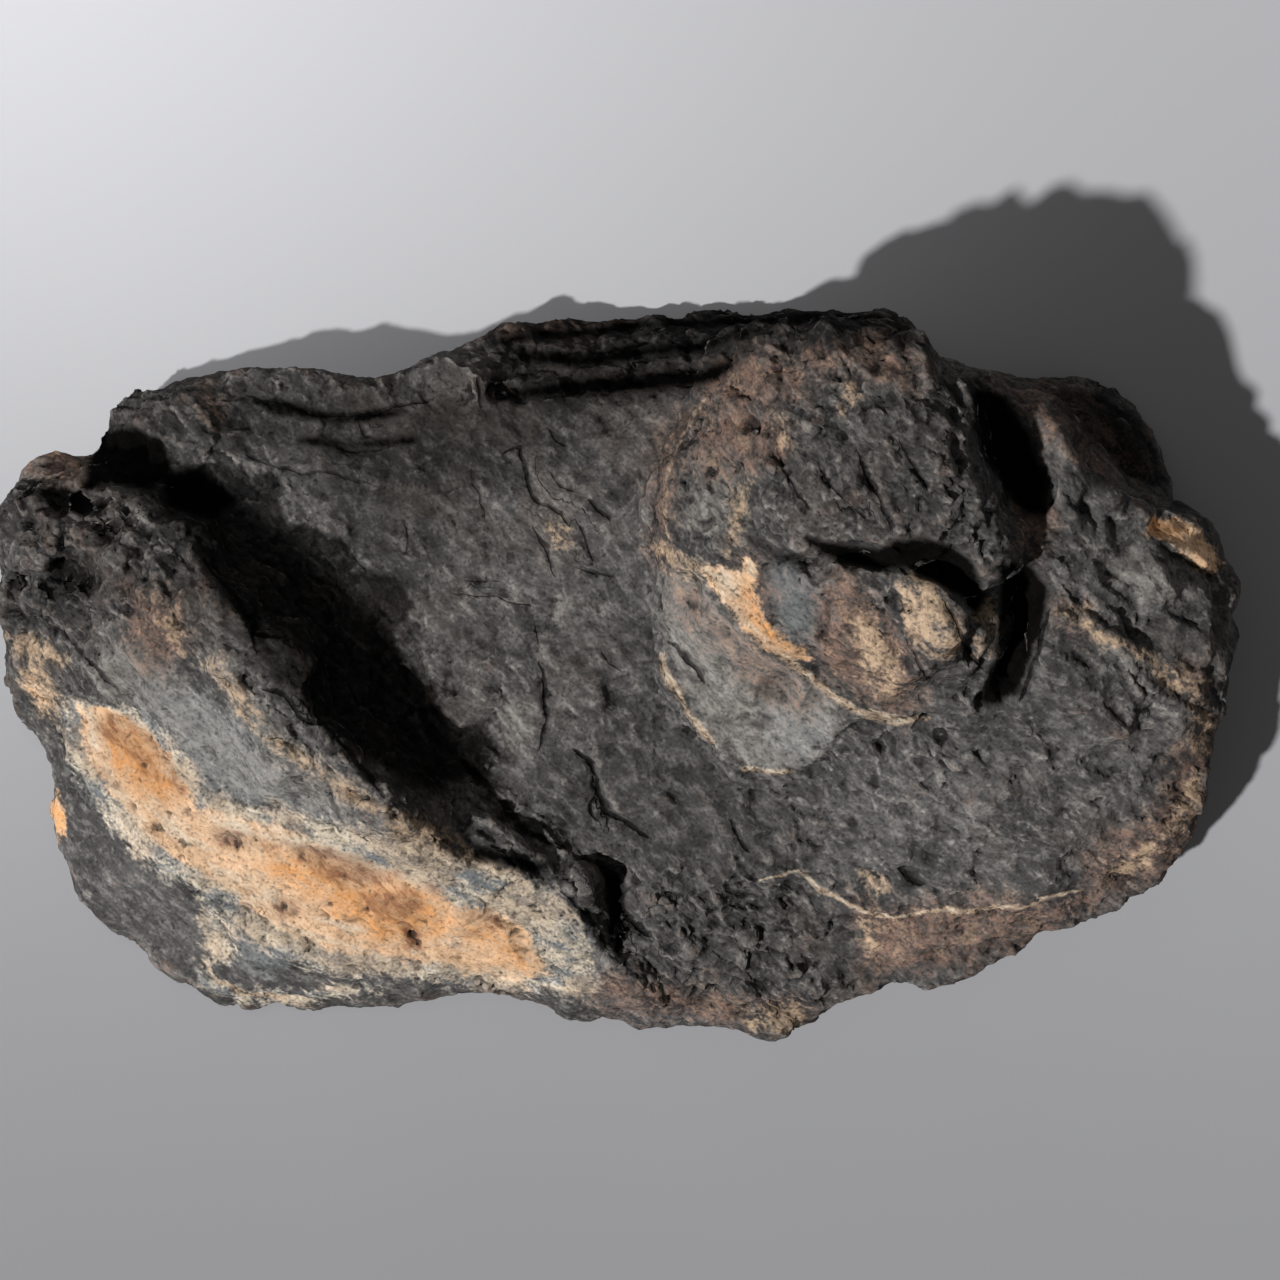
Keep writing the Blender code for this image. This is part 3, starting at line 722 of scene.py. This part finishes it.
def flakes(places, length, slope):
    """Flat, tilted scars, one for each cell of a random pattern, in metres."""
    spots = places / length
    centres = np.array([noise.voronoi(p)[1][0][:] for p in spots.tolist()])
    mixing = np.array([[12.9, 78.2, 37.7], [39.3, 11.1, 83.2], [73.1, 52.2, 9.5]])
    tilts = np.sin(np.round(centres, 3) @ mixing * 7)
    return (tilts * (spots - centres)).sum(axis=1) * slope * length


def terraces(level, share):
    """Steps of height 1 with flat treads, the riser taking a share of each."""
    part = level - np.floor(level)
    return np.floor(level) + smooth_step(part, 0, share)


def along_fabric(places):
    """The places turned to the rock's fabric, and squeezed along it, so that a pattern there is drawn out."""
    warp = rough_arrows(places, 0.014, WARP_SHIFTS)
    turned = (places + warp * FABRIC_WARP * MM) @ np.array(Matrix.Rotation(FABRIC_TURN, 3, "Z"))
    turned = turned @ np.array(Matrix.Rotation(FABRIC_DIP, 3, "X"))
    return turned / np.array([FABRIC_STRETCH, 1, FABRIC_WIDTH])


def along_patch(skin, fabric):
    """As the fabric, but along the flow line in and around the ochre patch."""
    distance, share = along_line(skin.pixels, np.array(PATCH_FLOW, float))
    way = lengths(np.diff(PATCH_FLOW, axis=0)).sum()
    pixel = STONE_LENGTH / TRACED_LENGTH
    flow = np.stack([share * way * pixel / PATCH_STRETCH, distance * pixel, skin.places[:, 2] * 0.3], axis=1)
    inside = np.array(STAINS_AND_PAINTED_SHADOW["cream"]["areas"][0], float)
    at = (inside_depth(skin.pixels, inside) > -6) & (skin.seen > STAIN_SEEN)
    return np.where(at[:, None], flow, fabric)


class Skin:
    """The fine mesh of the stone while it is carved."""

    def __init__(self, mesh):
        self.mesh = mesh
        self.read()

    def read(self):
        self.places = self.arrows("co")
        self.normals = self.arrows("normal")
        self.pixels = in_photo(self.places)
        self.seen = toward_eye(self.places, self.normals)

    def arrows(self, name):
        """What the mesh stores for each point under a name, such as its place."""
        values = np.empty(len(self.mesh.vertices) * 3, np.float32)
        self.mesh.vertices.foreach_get(name, values)
        return values.reshape(-1, 3).astype(float)

    def push(self, rise):
        """Moves the skin out by rise, in metres."""
        self.move(self.places + self.normals * rise[:, None])

    def move(self, moved):
        """Puts each point at its new place, and never below the base."""
        on_base = self.places[:, 2] < BASE_BAND * MM
        moved[on_base, 2] = self.places[on_base, 2]
        moved[:, 2] = np.maximum(moved[:, 2], 0)
        self.mesh.vertices.foreach_set("co", moved.astype(np.float32).ravel())
        self.mesh.update()
        self.read()

    def neighbour_mean(self, values):
        edges = np.empty(len(self.mesh.edges) * 2, np.int32)
        self.mesh.edges.foreach_get("vertices", edges)
        a, b = edges.reshape(-1, 2).T
        count = np.bincount(a, minlength=len(values)) + np.bincount(b, minlength=len(values))
        total = np.stack([
            np.bincount(a, values[b, k], len(values)) + np.bincount(b, values[a, k], len(values))
            for k in range(values.shape[1])
        ], axis=1)
        return total / np.maximum(count, 1)[:, None]

    def hollowness(self, passes):
        """How far each point lies below the mean of the skin around it, in metres."""
        mean = self.places
        for _ in range(passes):
            mean = (mean + self.neighbour_mean(mean)) / 2
        return ((mean - self.places) * self.normals).sum(axis=1)

    def keep(self, name, values):
        """Stores a number or a place for each point, for the material to read."""
        kind, field = ("FLOAT", "value") if values.ndim == 1 else ("FLOAT_VECTOR", "vector")
        layer = self.mesh.attributes.new(name, kind, "POINT")
        layer.data.foreach_set(field, values.astype(np.float32).ravel())


def zoned(skin, zones):
    """Each point's value of the zones that it lies in, 1 outside them."""
    amount = np.ones(len(skin.pixels))
    for level, fade, points in zones.values():
        points, at = near(skin.pixels, points, fade)
        weight = smooth_step(inside_depth(skin.pixels[at], points), -fade / 2, fade / 2) * skin.seen[at]
        amount[at] += (level - amount[at]) * weight
    return amount


def layered(skin):
    """The bands where thin layers of the rock crop out, as saw-toothed steps."""
    rise = np.zeros(len(skin.pixels))
    for name, (depth, spacing, wave, fade, way, points) in LAYER_BANDS.items():
        points, at = near(skin.pixels, points, fade)
        pixels = skin.pixels[at]
        way = np.array(way) / math.hypot(*way)
        across = pixels @ np.array([-way[1], way[0]])
        drift = rough(skin.places[at], 0.016, 3, len(name)) * wave * 2.2
        level = (across + drift) / spacing
        tooth = terraces(level, 0.25) - level
        strength = smooth_step(rough(skin.places[at], 0.02, 2, 3.0 + len(name)), -0.5, 0.3)
        weight = smooth_step(inside_depth(pixels, points), -fade / 2, fade) * skin.seen[at]
        rise[at] += depth * MM * (tooth - 0.4) * weight * strength
    return rise


def jagged(skin):
    """How far each point's pixel is shifted, so that a line drawn there runs unevenly."""
    return sum(rough_arrows(skin.places, length, shifts) * reach for length, reach, shifts in BENDS)


def cracked(skin, wander):
    """The grooves of the cracks, in metres."""
    rise = np.zeros(len(skin.pixels))
    for half_width, depth, points in CRACKS.values():
        points, at = near(skin.pixels, points, CRACK_REACH)
        distance, share = along_line(skin.pixels[at] + wander[at], points)
        thick = taper(share)
        width = half_width * GROOVE_WIDTH * (GROOVE_END + (1 - GROOVE_END) * thick) + GROOVE_GRAIN
        groove = np.exp(-((distance / width) ** 2)) * thick
        rise[at] -= GROOVE_CUT * depth * MM * groove * skin.seen[at]
    return rise


def line_field(skin, lines, wander):
    """The nearest line's signed distance in half widths, and how near the point is to any, 1 beside it."""
    field = np.full(len(skin.pixels), FIELD_LIMIT)
    nearest = np.full(len(skin.pixels), 1e9)
    close = np.zeros(len(skin.pixels))
    for half_width, strength, points in lines:
        reach = half_width * FIELD_LIMIT + FIELD_MARGIN
        points, at = near(skin.pixels, points, reach * 1.5)
        distance, share = along_line(skin.pixels[at] + wander[at], points)
        thick = 0.35 + 0.65 * taper(share, 6)
        best = np.abs(distance) < nearest[at]
        nearest[at[best]] = np.abs(distance[best])
        field[at[best]] = (distance / (half_width * thick))[best]
        beside = (share > 0) & (share < 1)
        inner = smooth_step(np.abs(distance), reach, reach * 0.6) * skin.seen[at] * beside
        close[at] = np.maximum(close[at], inner * strength)
    return np.clip(field, -FIELD_LIMIT, FIELD_LIMIT), close


def ledged(skin, wander):
    """The drops at the ledges, in metres."""
    rise = np.zeros(len(skin.pixels))
    for drop, fade, points in LEDGES.values():
        points, at = near(skin.pixels, points, fade)
        distance, share = along_line(skin.pixels[at] + wander[at], points)
        ends = smooth_step(np.minimum(share, 1 - share), 0, LEDGE_END)
        past = smooth_step(distance, -LEDGE_EDGE, LEDGE_EDGE)
        lower = past * (1 - smooth_step(distance, 0, fade))
        upper = (1 - past) * smooth_step(distance, -fade, 0)
        rise[at] += drop * MM * (upper * 0.5 - lower * 0.5) * ends * skin.seen[at]
    return rise


def dented(skin, wander):
    """The pits and the lumps, in metres."""
    rise = np.zeros(len(skin.pixels))
    for group in PITS.values():
        for radius, depth, across, down in group:
            middle, at = near(skin.pixels, [(across, down)], radius * 2)
            away = lengths(skin.pixels[at] + wander[at] - middle) / radius
            rise[at] -= depth * MM * np.exp(-(away ** PIT_WALL)) * skin.seen[at]
    for group in LUMPS.values():
        for half_length, half_width, turn, height, across, down in group:
            middle, at = near(skin.pixels, [(across, down)], half_length * 2)
            cos, sin = math.cos(math.radians(turn)), math.sin(math.radians(turn))
            away = (skin.pixels[at] + wander[at] * 1.5 - middle) @ np.array([[cos, -sin], [sin, cos]])
            away = lengths(away / np.array([half_length, half_width]))
            rise[at] += height * MM * np.exp(-(away ** LUMP_WALL)) * skin.seen[at]
    return rise


def hollowed(skin, wander):
    """Sinks the hollows and rounds their walls."""
    depth = np.zeros(len(skin.pixels))
    for sink, edge, points in HOLLOWS.values():
        points, at = near(skin.pixels, points, edge)
        inside = inside_depth(skin.pixels[at] + wander[at] * 0.5, points)
        depth[at] = np.maximum(depth[at], sink * MM * smooth_step(inside, -edge / 2, edge) * skin.seen[at])
    moved = skin.places.copy()
    moved[:, 2] -= depth * np.clip(skin.normals[:, 2] * 2, 0, 1)
    ease = np.clip(depth / (HOLLOW_ROUNDED * MM), 0, 1)[:, None]
    for _ in range(HOLLOW_PASSES):
        moved += (skin.neighbour_mean(moved) - moved) * ease * 0.7
    skin.move(moved)


def stain_depth(skin, stain):
    """How deep each point lies inside the areas and strokes of a stain, painted shadow included, in pixels,
    below zero outside them.
    """
    depth = np.full(len(skin.pixels), -float(STAIN_REACH))
    for points in stain["areas"]:
        points, at = near(skin.pixels, points, STAIN_REACH)
        depth[at] = np.maximum(depth[at], inside_depth(skin.pixels[at], points))
    for half_width, points in stain["strokes"]:
        points, at = near(skin.pixels, points, STAIN_REACH)
        distance, share = along_line(skin.pixels[at], points)
        thick = 0.4 + 0.6 * taper(share)
        depth[at] = np.maximum(depth[at], half_width * thick - np.abs(distance))
    return np.where(skin.seen > STAIN_SEEN, np.clip(depth, -STAIN_REACH, STAIN_REACH), -STAIN_REACH)


def describe(skin):
    """Stores what the material reads: the stains and the painted shadow, the regions' tones and painted
    shade, the lines, the hollows and the slow changes of the rock.
    """
    for name, stain in STAINS_AND_PAINTED_SHADOW.items():
        skin.keep(name, stain_depth(skin, stain))
    skin.keep("rugged", zoned(skin, ROUGH_ZONES))
    skin.keep("tone", zoned(skin, TONES_AND_PAINTED_SHADE))
    cracks = [
        (half_width * CRACK_WIDTH, min(1, 0.15 + depth / CRACK_DARK), points)
        for half_width, depth, points in CRACKS.values()
    ]
    wander = jagged(skin)
    for name, lines in (("crack", cracks), ("vein", VEINS.values())):
        field, close = line_field(skin, lines, wander)
        skin.keep(name, field)
        skin.keep(name + "_near", close)
    skin.keep("fine_hollow", skin.hollowness(FINE_PASSES) / MM)
    skin.keep("hollow", skin.hollowness(BROAD_PASSES) / MM)
    skin.keep("broad", 0.5 + 0.5 * rough(skin.places, BROAD_LENGTH, 3))
    skin.keep("cloud", 0.5 + 0.5 * rough(skin.places, CLOUD_LENGTH, 4, 1.7))
    fabric = along_fabric(skin.places)
    skin.keep("fabric", fabric)
    skin.keep("flow", along_patch(skin, fabric))


def carve(skin, settings):
    """The relief that is finer than the solid: broken flakes, layers, ledges, cracks, pits and lumps."""
    hollowed(skin, jagged(skin))
    fabric = along_fabric(skin.places)
    bent = skin.places + rough_arrows(skin.places, 0.010, WARP_SHIFTS) * BENT_WARP * MM
    upright = 1 - np.abs(skin.normals[:, 2])
    amount = zoned(skin, ROUGH_ZONES) * (1 - UPRIGHT_CALM * upright)
    broken = flakes(bent, *BENT_FLAKES) + flakes(fabric, *FABRIC_FLAKES) + flakes(fabric + 0.3, *SMALL_FLAKES)
    broken += rough(skin.places, UNEVEN_LENGTH, 4) * UNEVEN * MM
    sheets = terraces(rough(skin.places, SHEET_LENGTH, 4, 4.4) * SHEETS_CUT, SHEET_RISER) * SHEET * MM
    waves = rough(skin.places, 0.04, 3, 6.0) * BED_WAVE * MM
    beds = (skin.places @ np.array(BED_SLOPE) + waves) / (BED * MM)
    walls = upright * (1 - 0.75 * skin.seen) + 0.35 * upright
    bedding = (terraces(beds, BED_RISER) - beds - 0.4) * BEDDING * MM * walls
    rise = (broken * amount + sheets * (0.4 + 0.6 * amount) + bedding) * settings.relief
    skin.push(rise + layered(skin))
    wander = jagged(skin)
    skin.push(cracked(skin, wander) + ledged(skin, wander) + dented(skin, wander))


class Wire:
    """A socket of a material, which takes part in arithmetic. Each operation adds a Math node."""

    def __init__(self, recipe, socket):
        self.recipe = recipe
        self.socket = socket

    def math(self, operation, *values):
        return self.recipe.node("ShaderNodeMath", {"operation": operation}, dict(enumerate(values)))

    def __add__(self, other):
        return self.math("ADD", self, other)

    def __sub__(self, other):
        return self.math("SUBTRACT", self, other)

    def __rsub__(self, other):
        return self.math("SUBTRACT", other, self)

    def __mul__(self, other):
        return self.math("MULTIPLY", self, other)

    def __abs__(self):
        return self.math("ABSOLUTE", self)

    __radd__ = __add__
    __rmul__ = __mul__

    def at_most(self, other):
        return self.math("MINIMUM", self, other)

    def at_least(self, other):
        return self.math("MAXIMUM", self, other)

    def step(self, low, high):
        """0 up to low, 1 from high, and a smooth rise between. With low above high it falls."""
        ends = {"Value": self, "From Min": low, "From Max": high, "To Min": 0.0, "To Max": 1.0}
        return self.recipe.node("ShaderNodeMapRange", {"interpolation_type": "SMOOTHSTEP"}, ends)


class Recipe:
    """A material, made of nodes."""

    def __init__(self, name):
        self.material = bpy.data.materials.new(name)
        self.material.use_nodes = True
        self.nodes = self.material.node_tree.nodes
        self.links = self.material.node_tree.links
        self.shader = self.nodes["Principled BSDF"]

    def put(self, socket, value):
        if isinstance(value, Wire):
            self.links.new(value.socket, socket)
        else:
            socket.default_value = value

    def node(self, kind, settings, inputs, output=0):
        """Adds a node, with its settings first and then the values or wires of its sockets."""
        node = self.nodes.new(kind)
        for name, value in settings.items():
            setattr(node, name, value)
        for name, value in inputs.items():
            self.put(node.inputs[name], value)
        return Wire(self, node.outputs[output])

    def layer(self, name, output="Fac"):
        return self.node("ShaderNodeAttribute", {"attribute_name": name}, {}, output)

    def mix(self, share, first, second):
        """A colour between two colours."""
        return self.node("ShaderNodeMix", {"data_type": "RGBA"}, {0: share, 6: first, 7: second}, 2)

    def grain(self, place, length, detail, roughness=0.55):
        """Cloudy noise from 0 to 1 over a length in metres."""
        sizes = {"Vector": place, "Scale": 1 / length, "Detail": detail, "Roughness": roughness}
        return self.node("ShaderNodeTexNoise", {}, sizes)

    def vector_math(self, operation, *values, output=0):
        return self.node("ShaderNodeVectorMath", {"operation": operation}, dict(enumerate(values)), output)

    def flakes(self, place, length, slope):
        """The height in metres of flat, tilted scars."""
        cells = {"Vector": place, "Scale": 1 / length}
        tilt = self.node("ShaderNodeTexVoronoi", {"feature": "F1"}, cells, "Color")
        centre = Wire(self, tilt.socket.node.outputs["Position"])
        away = self.vector_math("SUBTRACT", place, centre)
        lean = self.vector_math("SUBTRACT", tilt, (0.5, 0.5, 0.5))
        return self.vector_math("DOT_PRODUCT", lean, away, output="Value") * (2 * slope)

    def scaled(self, colour, factor):
        """A colour made brighter or darker by a factor."""
        return self.node("ShaderNodeVectorMath", {"operation": "SCALE"}, {0: colour, "Scale": factor})

    def feed(self, name, value):
        self.put(self.shader.inputs[name], value)


def stone_material(settings):
    """Dry, weathered slate with ochre and cream minerals, rust stains, dust on its edges, and painted shade
    and shadow in its hollows and gullies.
    """
    rock = Recipe("weathered_slate")
    place = rock.node("ShaderNodeTexCoord", {}, {}, "Object")
    fabric = rock.layer("fabric", "Vector")
    broad = rock.layer("broad")
    cloud = rock.layer("cloud")
    rugged = rock.layer("rugged")
    fine = rock.grain(fabric, 0.0023, 2.0, 0.72)
    speck = rock.grain(place, 0.0008, 1.0, 0.5)
    streak = rock.grain(rock.layer("flow", "Vector"), 0.0036, 2.0, 0.68)
    blend = fine * 0.7 + speck * 0.3

    hollow = rock.layer("hollow")
    fine_hollow = rock.layer("fine_hollow")
    edge = (fine_hollow * -1 + (fine - 0.5) * 0.25).step(0.08, 0.40)
    broad_edge = (hollow * -1 + (cloud - 0.5) * 0.8).step(0.35, 1.4)
    sunk = (fine_hollow + (fine - 0.5) * 0.15).step(0.05, 0.36)
    sunk_broad = hollow.step(0.2, 1.6)
    crack = (1 - abs(rock.layer("crack") + (fine - 0.5) * 1.2).step(0.25, 1.1)) * rock.layer("crack_near")
    vein = (1 - abs(rock.layer("vein") + (fine - 0.5) * 2.4).step(0.4, 1.8)) * rock.layer("vein_near")

    def stained(name, spread, soft):
        """The share of a stain, painted shadow included, with its border broken up by the grain."""
        ragged = (fine * 1.2 + cloud * 0.6 + speck * 0.3 - 1.05) * spread
        return (rock.layer(name) + ragged).step(-soft, soft)

    ochre = stained("ochre", 16, 4.0)
    amber = stained("amber", 30, 18.0)
    umber = stained("umber", 22, 6.0)
    cream = stained("cream", 26, 7.0)
    tan = stained("tan", 30, 9.0)
    rust = stained("rust", 44, 20.0)
    bluegrey = stained("bluegrey", 24, 12.0)
    pale_and_highlight = stained("pale_and_highlight", 26, 14.0)
    # Painted shadow: near black where cast shadow fills the deep hollows and gullies.
    painted_shadow = stained("painted_shadow", 12, 5.0)

    mottle = (cloud * 0.35 + fine * 0.65).step(0.34, 0.64)
    colour = rock.mix(mottle, settings.dark_slate[:], settings.slate[:])
    colour = rock.mix(broad.step(0.40, 0.66) * cloud.step(0.35, 0.60) * 0.35, colour, settings.brown[:])
    colour = rock.mix(blend.step(0.50, 0.62) * (edge * 0.3 + 0.13), colour, settings.dust[:])
    colour = rock.mix(bluegrey * (fine * 0.7 + 0.25), colour, settings.bluegrey[:])
    # Pale, rubbed rock, and a painted highlight on one lit ledge.
    colour = rock.mix(pale_and_highlight * (fine.step(0.26, 0.74) * 0.34 + 0.25), colour, settings.pale_and_highlight[:])
    colour = rock.mix(edge * 0.40, colour, settings.dust[:])
    colour = rock.mix(rust * (blend.step(0.40, 0.62) * 0.46 + 0.24), colour, settings.rust[:])
    colour = rock.mix(rust * (streak * 0.75 + speck * 0.25).step(0.52, 0.64) * 0.28, colour, settings.tan[:])
    colour = rock.mix(broad_edge * streak.step(0.50, 0.62) * 0.30, colour, settings.rust[:])
    colour = rock.mix(tan * (streak * 0.4 + blend * 0.6).step(0.36, 0.54) * 0.85, colour, settings.tan[:])

    grained = streak * 0.75 + speck * 0.25
    border = rock.mix(grained.step(0.38, 0.60), settings.bluegrey[:], settings.cream[:])
    border = rock.mix(cloud.step(0.40, 0.60) * 0.45, border, settings.tan[:])
    border = rock.mix((fine * -1 + 1).step(0.60, 0.74) * 0.45, border, settings.dark_slate[:])
    colour = rock.mix(cream * 0.90, colour, border)
    drawn = (streak * 0.8 + speck * 0.2).step(0.46, 0.66)
    flesh = rock.mix(drawn * 0.55, settings.peach[:], settings.cream[:])
    flesh = rock.mix(amber * (fine.step(0.30, 0.62) * 0.45 + 0.42), flesh, settings.amber[:])
    lime = stained("lime", 20, 7.0)
    flesh = rock.mix(lime * (streak.step(0.36, 0.56) * 0.60 + 0.15), flesh, settings.cream[:])
    flesh = rock.mix(umber * (blend.step(0.40, 0.58) * 0.55 + 0.25), flesh, settings.umber[:])
    colour = rock.mix(ochre * 0.97, colour, flesh)
    line_colour = rock.mix(fine.step(0.48, 0.66), settings.tan[:], settings.cream[:])
    colour = rock.mix(vein * blend.step(0.34, 0.50) * 0.75, colour, line_colour)
    # Darker in the skin's fine and broad hollows, and dark pits from the grain.
    pits = (speck * -1 + 1).step(0.62, 0.72)
    colour = rock.mix(sunk * 0.60 + sunk_broad * 0.25 + pits * 0.35, colour, PIT_COLOUR)
    # Painted shadow, near black, over the deep hollows and gullies, and the dark of the cracks.
    colour = rock.mix((painted_shadow * 0.995).at_least(crack * 0.78), colour, SHADOW_AND_CRACK_COLOUR)
    # The regions' tones with a grain; the darkest of them are painted shade and painted shadow.
    shade = rock.layer("tone") * ((speck - 0.5) * 0.8 + (fine - 0.5) * 1.0 + 1)
    rock.feed("Base Color", rock.scaled(colour, shade))
    rock.feed("Specular IOR Level", DRY_SPECULAR)

    bright = ochre.at_least(cream)
    dull = (fine - 0.5) * 0.25 + bright * 0.10 + painted_shadow * 0.3 + settings.roughness
    rock.feed("Roughness", dull.at_most(0.98))

    chips = rock.flakes(fabric, 0.0019, 0.38)
    height = (chips + (fine - 0.5) * 0.00052) * (rugged * 0.70 + 0.30)
    height = height - crack * 0.0005
    bump = {"Strength": 0.9, "Distance": 1.0, "Height": height}
    rock.feed("Normal", rock.node("ShaderNodeBump", {}, bump))
    return rock.material


def tint(name, about, red, green, blue):
    """A colour that a user may change."""
    return bpy.props.FloatVectorProperty(
        name=name, description=about, size=4, subtype="COLOR", default=(red, green, blue, 1)
    )


def amount(name, about, value, **limits):
    """A number that a user may change."""
    return bpy.props.FloatProperty(name=name, description=about, default=value, **limits)


class StoneSettings(bpy.types.PropertyGroup):
    """The stone's surface and its colours."""

    grain: amount("Grain", "Side of the fine faces", 0.00088, unit="LENGTH")
    relief: amount("Relief", "Depth of the broken surface against the photograph's", 1.0)
    triangles: bpy.props.IntProperty(
        name="Triangles", description="Most triangles in the skin", default=192000
    )
    roughness: amount("Roughness", "How dull the dry rock is", 0.66, subtype="FACTOR")
    slate: tint("Slate", "Common grey of the rock", 0.083, 0.079, 0.076)
    dark_slate: tint("Dark slate", "Darker grey of the rock", 0.047, 0.045, 0.044)
    brown: tint("Brown", "Warm tint in the grey", 0.080, 0.062, 0.052)
    dust: tint("Dust", "Worn edges and dust", 0.21, 0.195, 0.18)
    bluegrey: tint("Blue-grey", "Cool, smooth rock", 0.150, 0.158, 0.160)
    # Pale, rubbed rock, also used for a painted highlight on one lit ledge.
    pale_and_highlight: tint("Pale", "Pale, rubbed rock", 0.22, 0.205, 0.185)
    tan: tint("Tan", "Tan crust", 0.34, 0.245, 0.165)
    cream: tint("Cream", "Cream mineral", 0.47, 0.40, 0.31)
    peach: tint("Peach", "Light ochre mineral", 0.54, 0.35, 0.215)
    amber: tint("Amber", "Deep ochre mineral", 0.46, 0.205, 0.065)
    umber: tint("Umber", "Brown iron mottles", 0.13, 0.060, 0.038)
    rust: tint("Rust", "Iron stain", 0.155, 0.088, 0.062)


class StageSettings(bpy.types.PropertyGroup):
    """The floor and the lights."""

    floor_size: amount("Floor", "Side of the floor", 6.0, unit="LENGTH")
    floor_colour: tint("Floor colour", "Pale floor", 0.40, 0.40, 0.415)
    key_power: amount("Key light", "Strength of the main light", 4.4)
    key_spread: amount("Key softness", "Angle across the main light", math.radians(2.5), subtype="ANGLE")
    fill_power: amount("Fill", "Strength of the light from all round", 0.13)
    wash_power: amount("Wash", "Strength of the light on the floor behind", 19.0)


def select_only(thing):
    bpy.ops.object.select_all(action="DESELECT")
    thing.select_set(True)
    bpy.context.view_layer.objects.active = thing


def apply_modifier(thing, kind, **settings):
    modifier = thing.modifiers.new(kind.lower(), kind)
    for name, value in settings.items():
        setattr(modifier, name, value)
    bpy.ops.object.modifier_apply(modifier=modifier.name)


class STONE_OT_rock(bpy.types.Operator):
    """Carve the stone's fine surface over its solid and colour it"""

    bl_idname = "stone.rock"
    bl_label = "Stone"

    def execute(self, context):
        settings = context.scene.stone_settings
        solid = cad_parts["stone"]
        rock = bpy.data.objects.new("weathered_stone", solid.data.copy())
        context.scene.collection.objects.link(rock)
        rock.data.materials.clear()
        select_only(rock)
        bpy.ops.object.mode_set(mode="EDIT")
        bpy.ops.mesh.select_all(action="SELECT")
        bpy.ops.mesh.remove_doubles(threshold=0.00001)
        bpy.ops.mesh.normals_make_consistent(inside=False)
        bpy.ops.object.mode_set(mode="OBJECT")
        apply_modifier(rock, "REMESH", mode="VOXEL", voxel_size=settings.grain)
        apply_modifier(rock, "SMOOTH", factor=0.5, iterations=8)
        carve(Skin(rock.data), settings)
        share = settings.triangles / sum(len(f.vertices) - 2 for f in rock.data.polygons)
        if share < 1:
            apply_modifier(rock, "DECIMATE", ratio=share)
        describe(Skin(rock.data))
        rock.data.materials.append(stone_material(settings))
        bpy.ops.object.shade_smooth()
        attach(rock, "root")
        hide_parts("stone")
        return {"FINISHED"}


class STONE_OT_stage(bpy.types.Operator):
    """Lay the floor and set the lights and the camera"""

    bl_idname = "stone.stage"
    bl_label = "Stage"

    def execute(self, context):
        settings = context.scene.stage_settings
        bpy.ops.object.select_all(action="DESELECT")
        bpy.ops.mesh.primitive_plane_add(size=settings.floor_size, location=(0, 0, 0))
        floor = context.object
        floor.name = "floor"
        ground = Recipe("pale_floor")
        place = ground.node("ShaderNodeTexCoord", {}, {}, "Object")
        mottle = ground.grain(place, 0.12, 4.0)
        # Painted shade: the floor's colour darkens towards the front, as the light would fall off there.
        low = tuple(part * FRONT_FLOOR_SHADE for part in settings.floor_colour[:3]) + (1,)
        depth = ground.node("ShaderNodeSeparateXYZ", {}, {"Vector": place}, 1)
        share = (depth + (mottle - 0.5) * 0.05).step(-0.22, 0.20)
        ground.feed("Base Color", ground.mix(share, low, settings.floor_colour[:]))
        ground.feed("Roughness", 0.8)
        floor.data.materials.append(ground.material)

        level = math.cos(KEY_ELEVATION)
        toward = Vector((KEY_WAY[0] * level, KEY_WAY[1] * level, -math.sin(KEY_ELEVATION)))
        key = self.light(context, "key", "SUN", settings.key_power)
        key.data.angle = settings.key_spread
        key.rotation_mode = "QUATERNION"
        key.rotation_quaternion = toward.to_track_quat("-Z", "Y")
        wash = self.light(context, "wash", "SPOT", settings.wash_power)
        wash.data.spot_size = WASH_ANGLE
        wash.data.spot_blend = 1.0
        wash.data.shadow_soft_size = 0.2
        wash.location = WASH_PLACE
        world = bpy.data.worlds.new("studio")
        world.use_nodes = True
        world.node_tree.nodes["Background"].inputs["Color"].default_value = (1, 1, 1, 1)
        world.node_tree.nodes["Background"].inputs["Strength"].default_value = settings.fill_power
        context.scene.world = world
        context.scene.view_settings.view_transform = "Standard"

        camera = bpy.data.objects.new("camera", bpy.data.cameras.new("camera"))
        camera.data.lens = LENS * 1000
        camera.data.sensor_width = SENSOR * 1000
        camera.matrix_world = Matrix.Translation(EYE) @ VIEW_TURN.to_4x4()
        context.scene.collection.objects.link(camera)
        context.scene.camera = camera
        return {"FINISHED"}

    @staticmethod
    def light(context, name, kind, power):
        lamp = bpy.data.objects.new(name, bpy.data.lights.new(name, kind))
        lamp.data.energy = power
        context.scene.collection.objects.link(lamp)
        return lamp


class STONE_PT_panel(bpy.types.Panel):
    """The steps of the stone, in order"""

    bl_label = "Viewing Stone"
    bl_idname = "STONE_PT_panel"
    bl_space_type = "VIEW_3D"
    bl_region_type = "UI"
    bl_category = "Stone"

    def draw(self, context):
        for operator in OPERATORS:
            self.layout.operator(operator.bl_idname)


OPERATORS = (STONE_OT_rock, STONE_OT_stage)
CLASSES = (StoneSettings, StageSettings, *OPERATORS, STONE_PT_panel)


def register():
    for cls in CLASSES:
        bpy.utils.register_class(cls)
    bpy.types.Scene.stone_settings = bpy.props.PointerProperty(type=StoneSettings)
    bpy.types.Scene.stage_settings = bpy.props.PointerProperty(type=StageSettings)


def unregister():
    del bpy.types.Scene.stage_settings
    del bpy.types.Scene.stone_settings
    for cls in reversed(CLASSES):
        bpy.utils.unregister_class(cls)


def main():
    register()
    bpy.ops.stone.stage()
    bpy.ops.stone.rock()


if __name__ == "__main__":
    main()
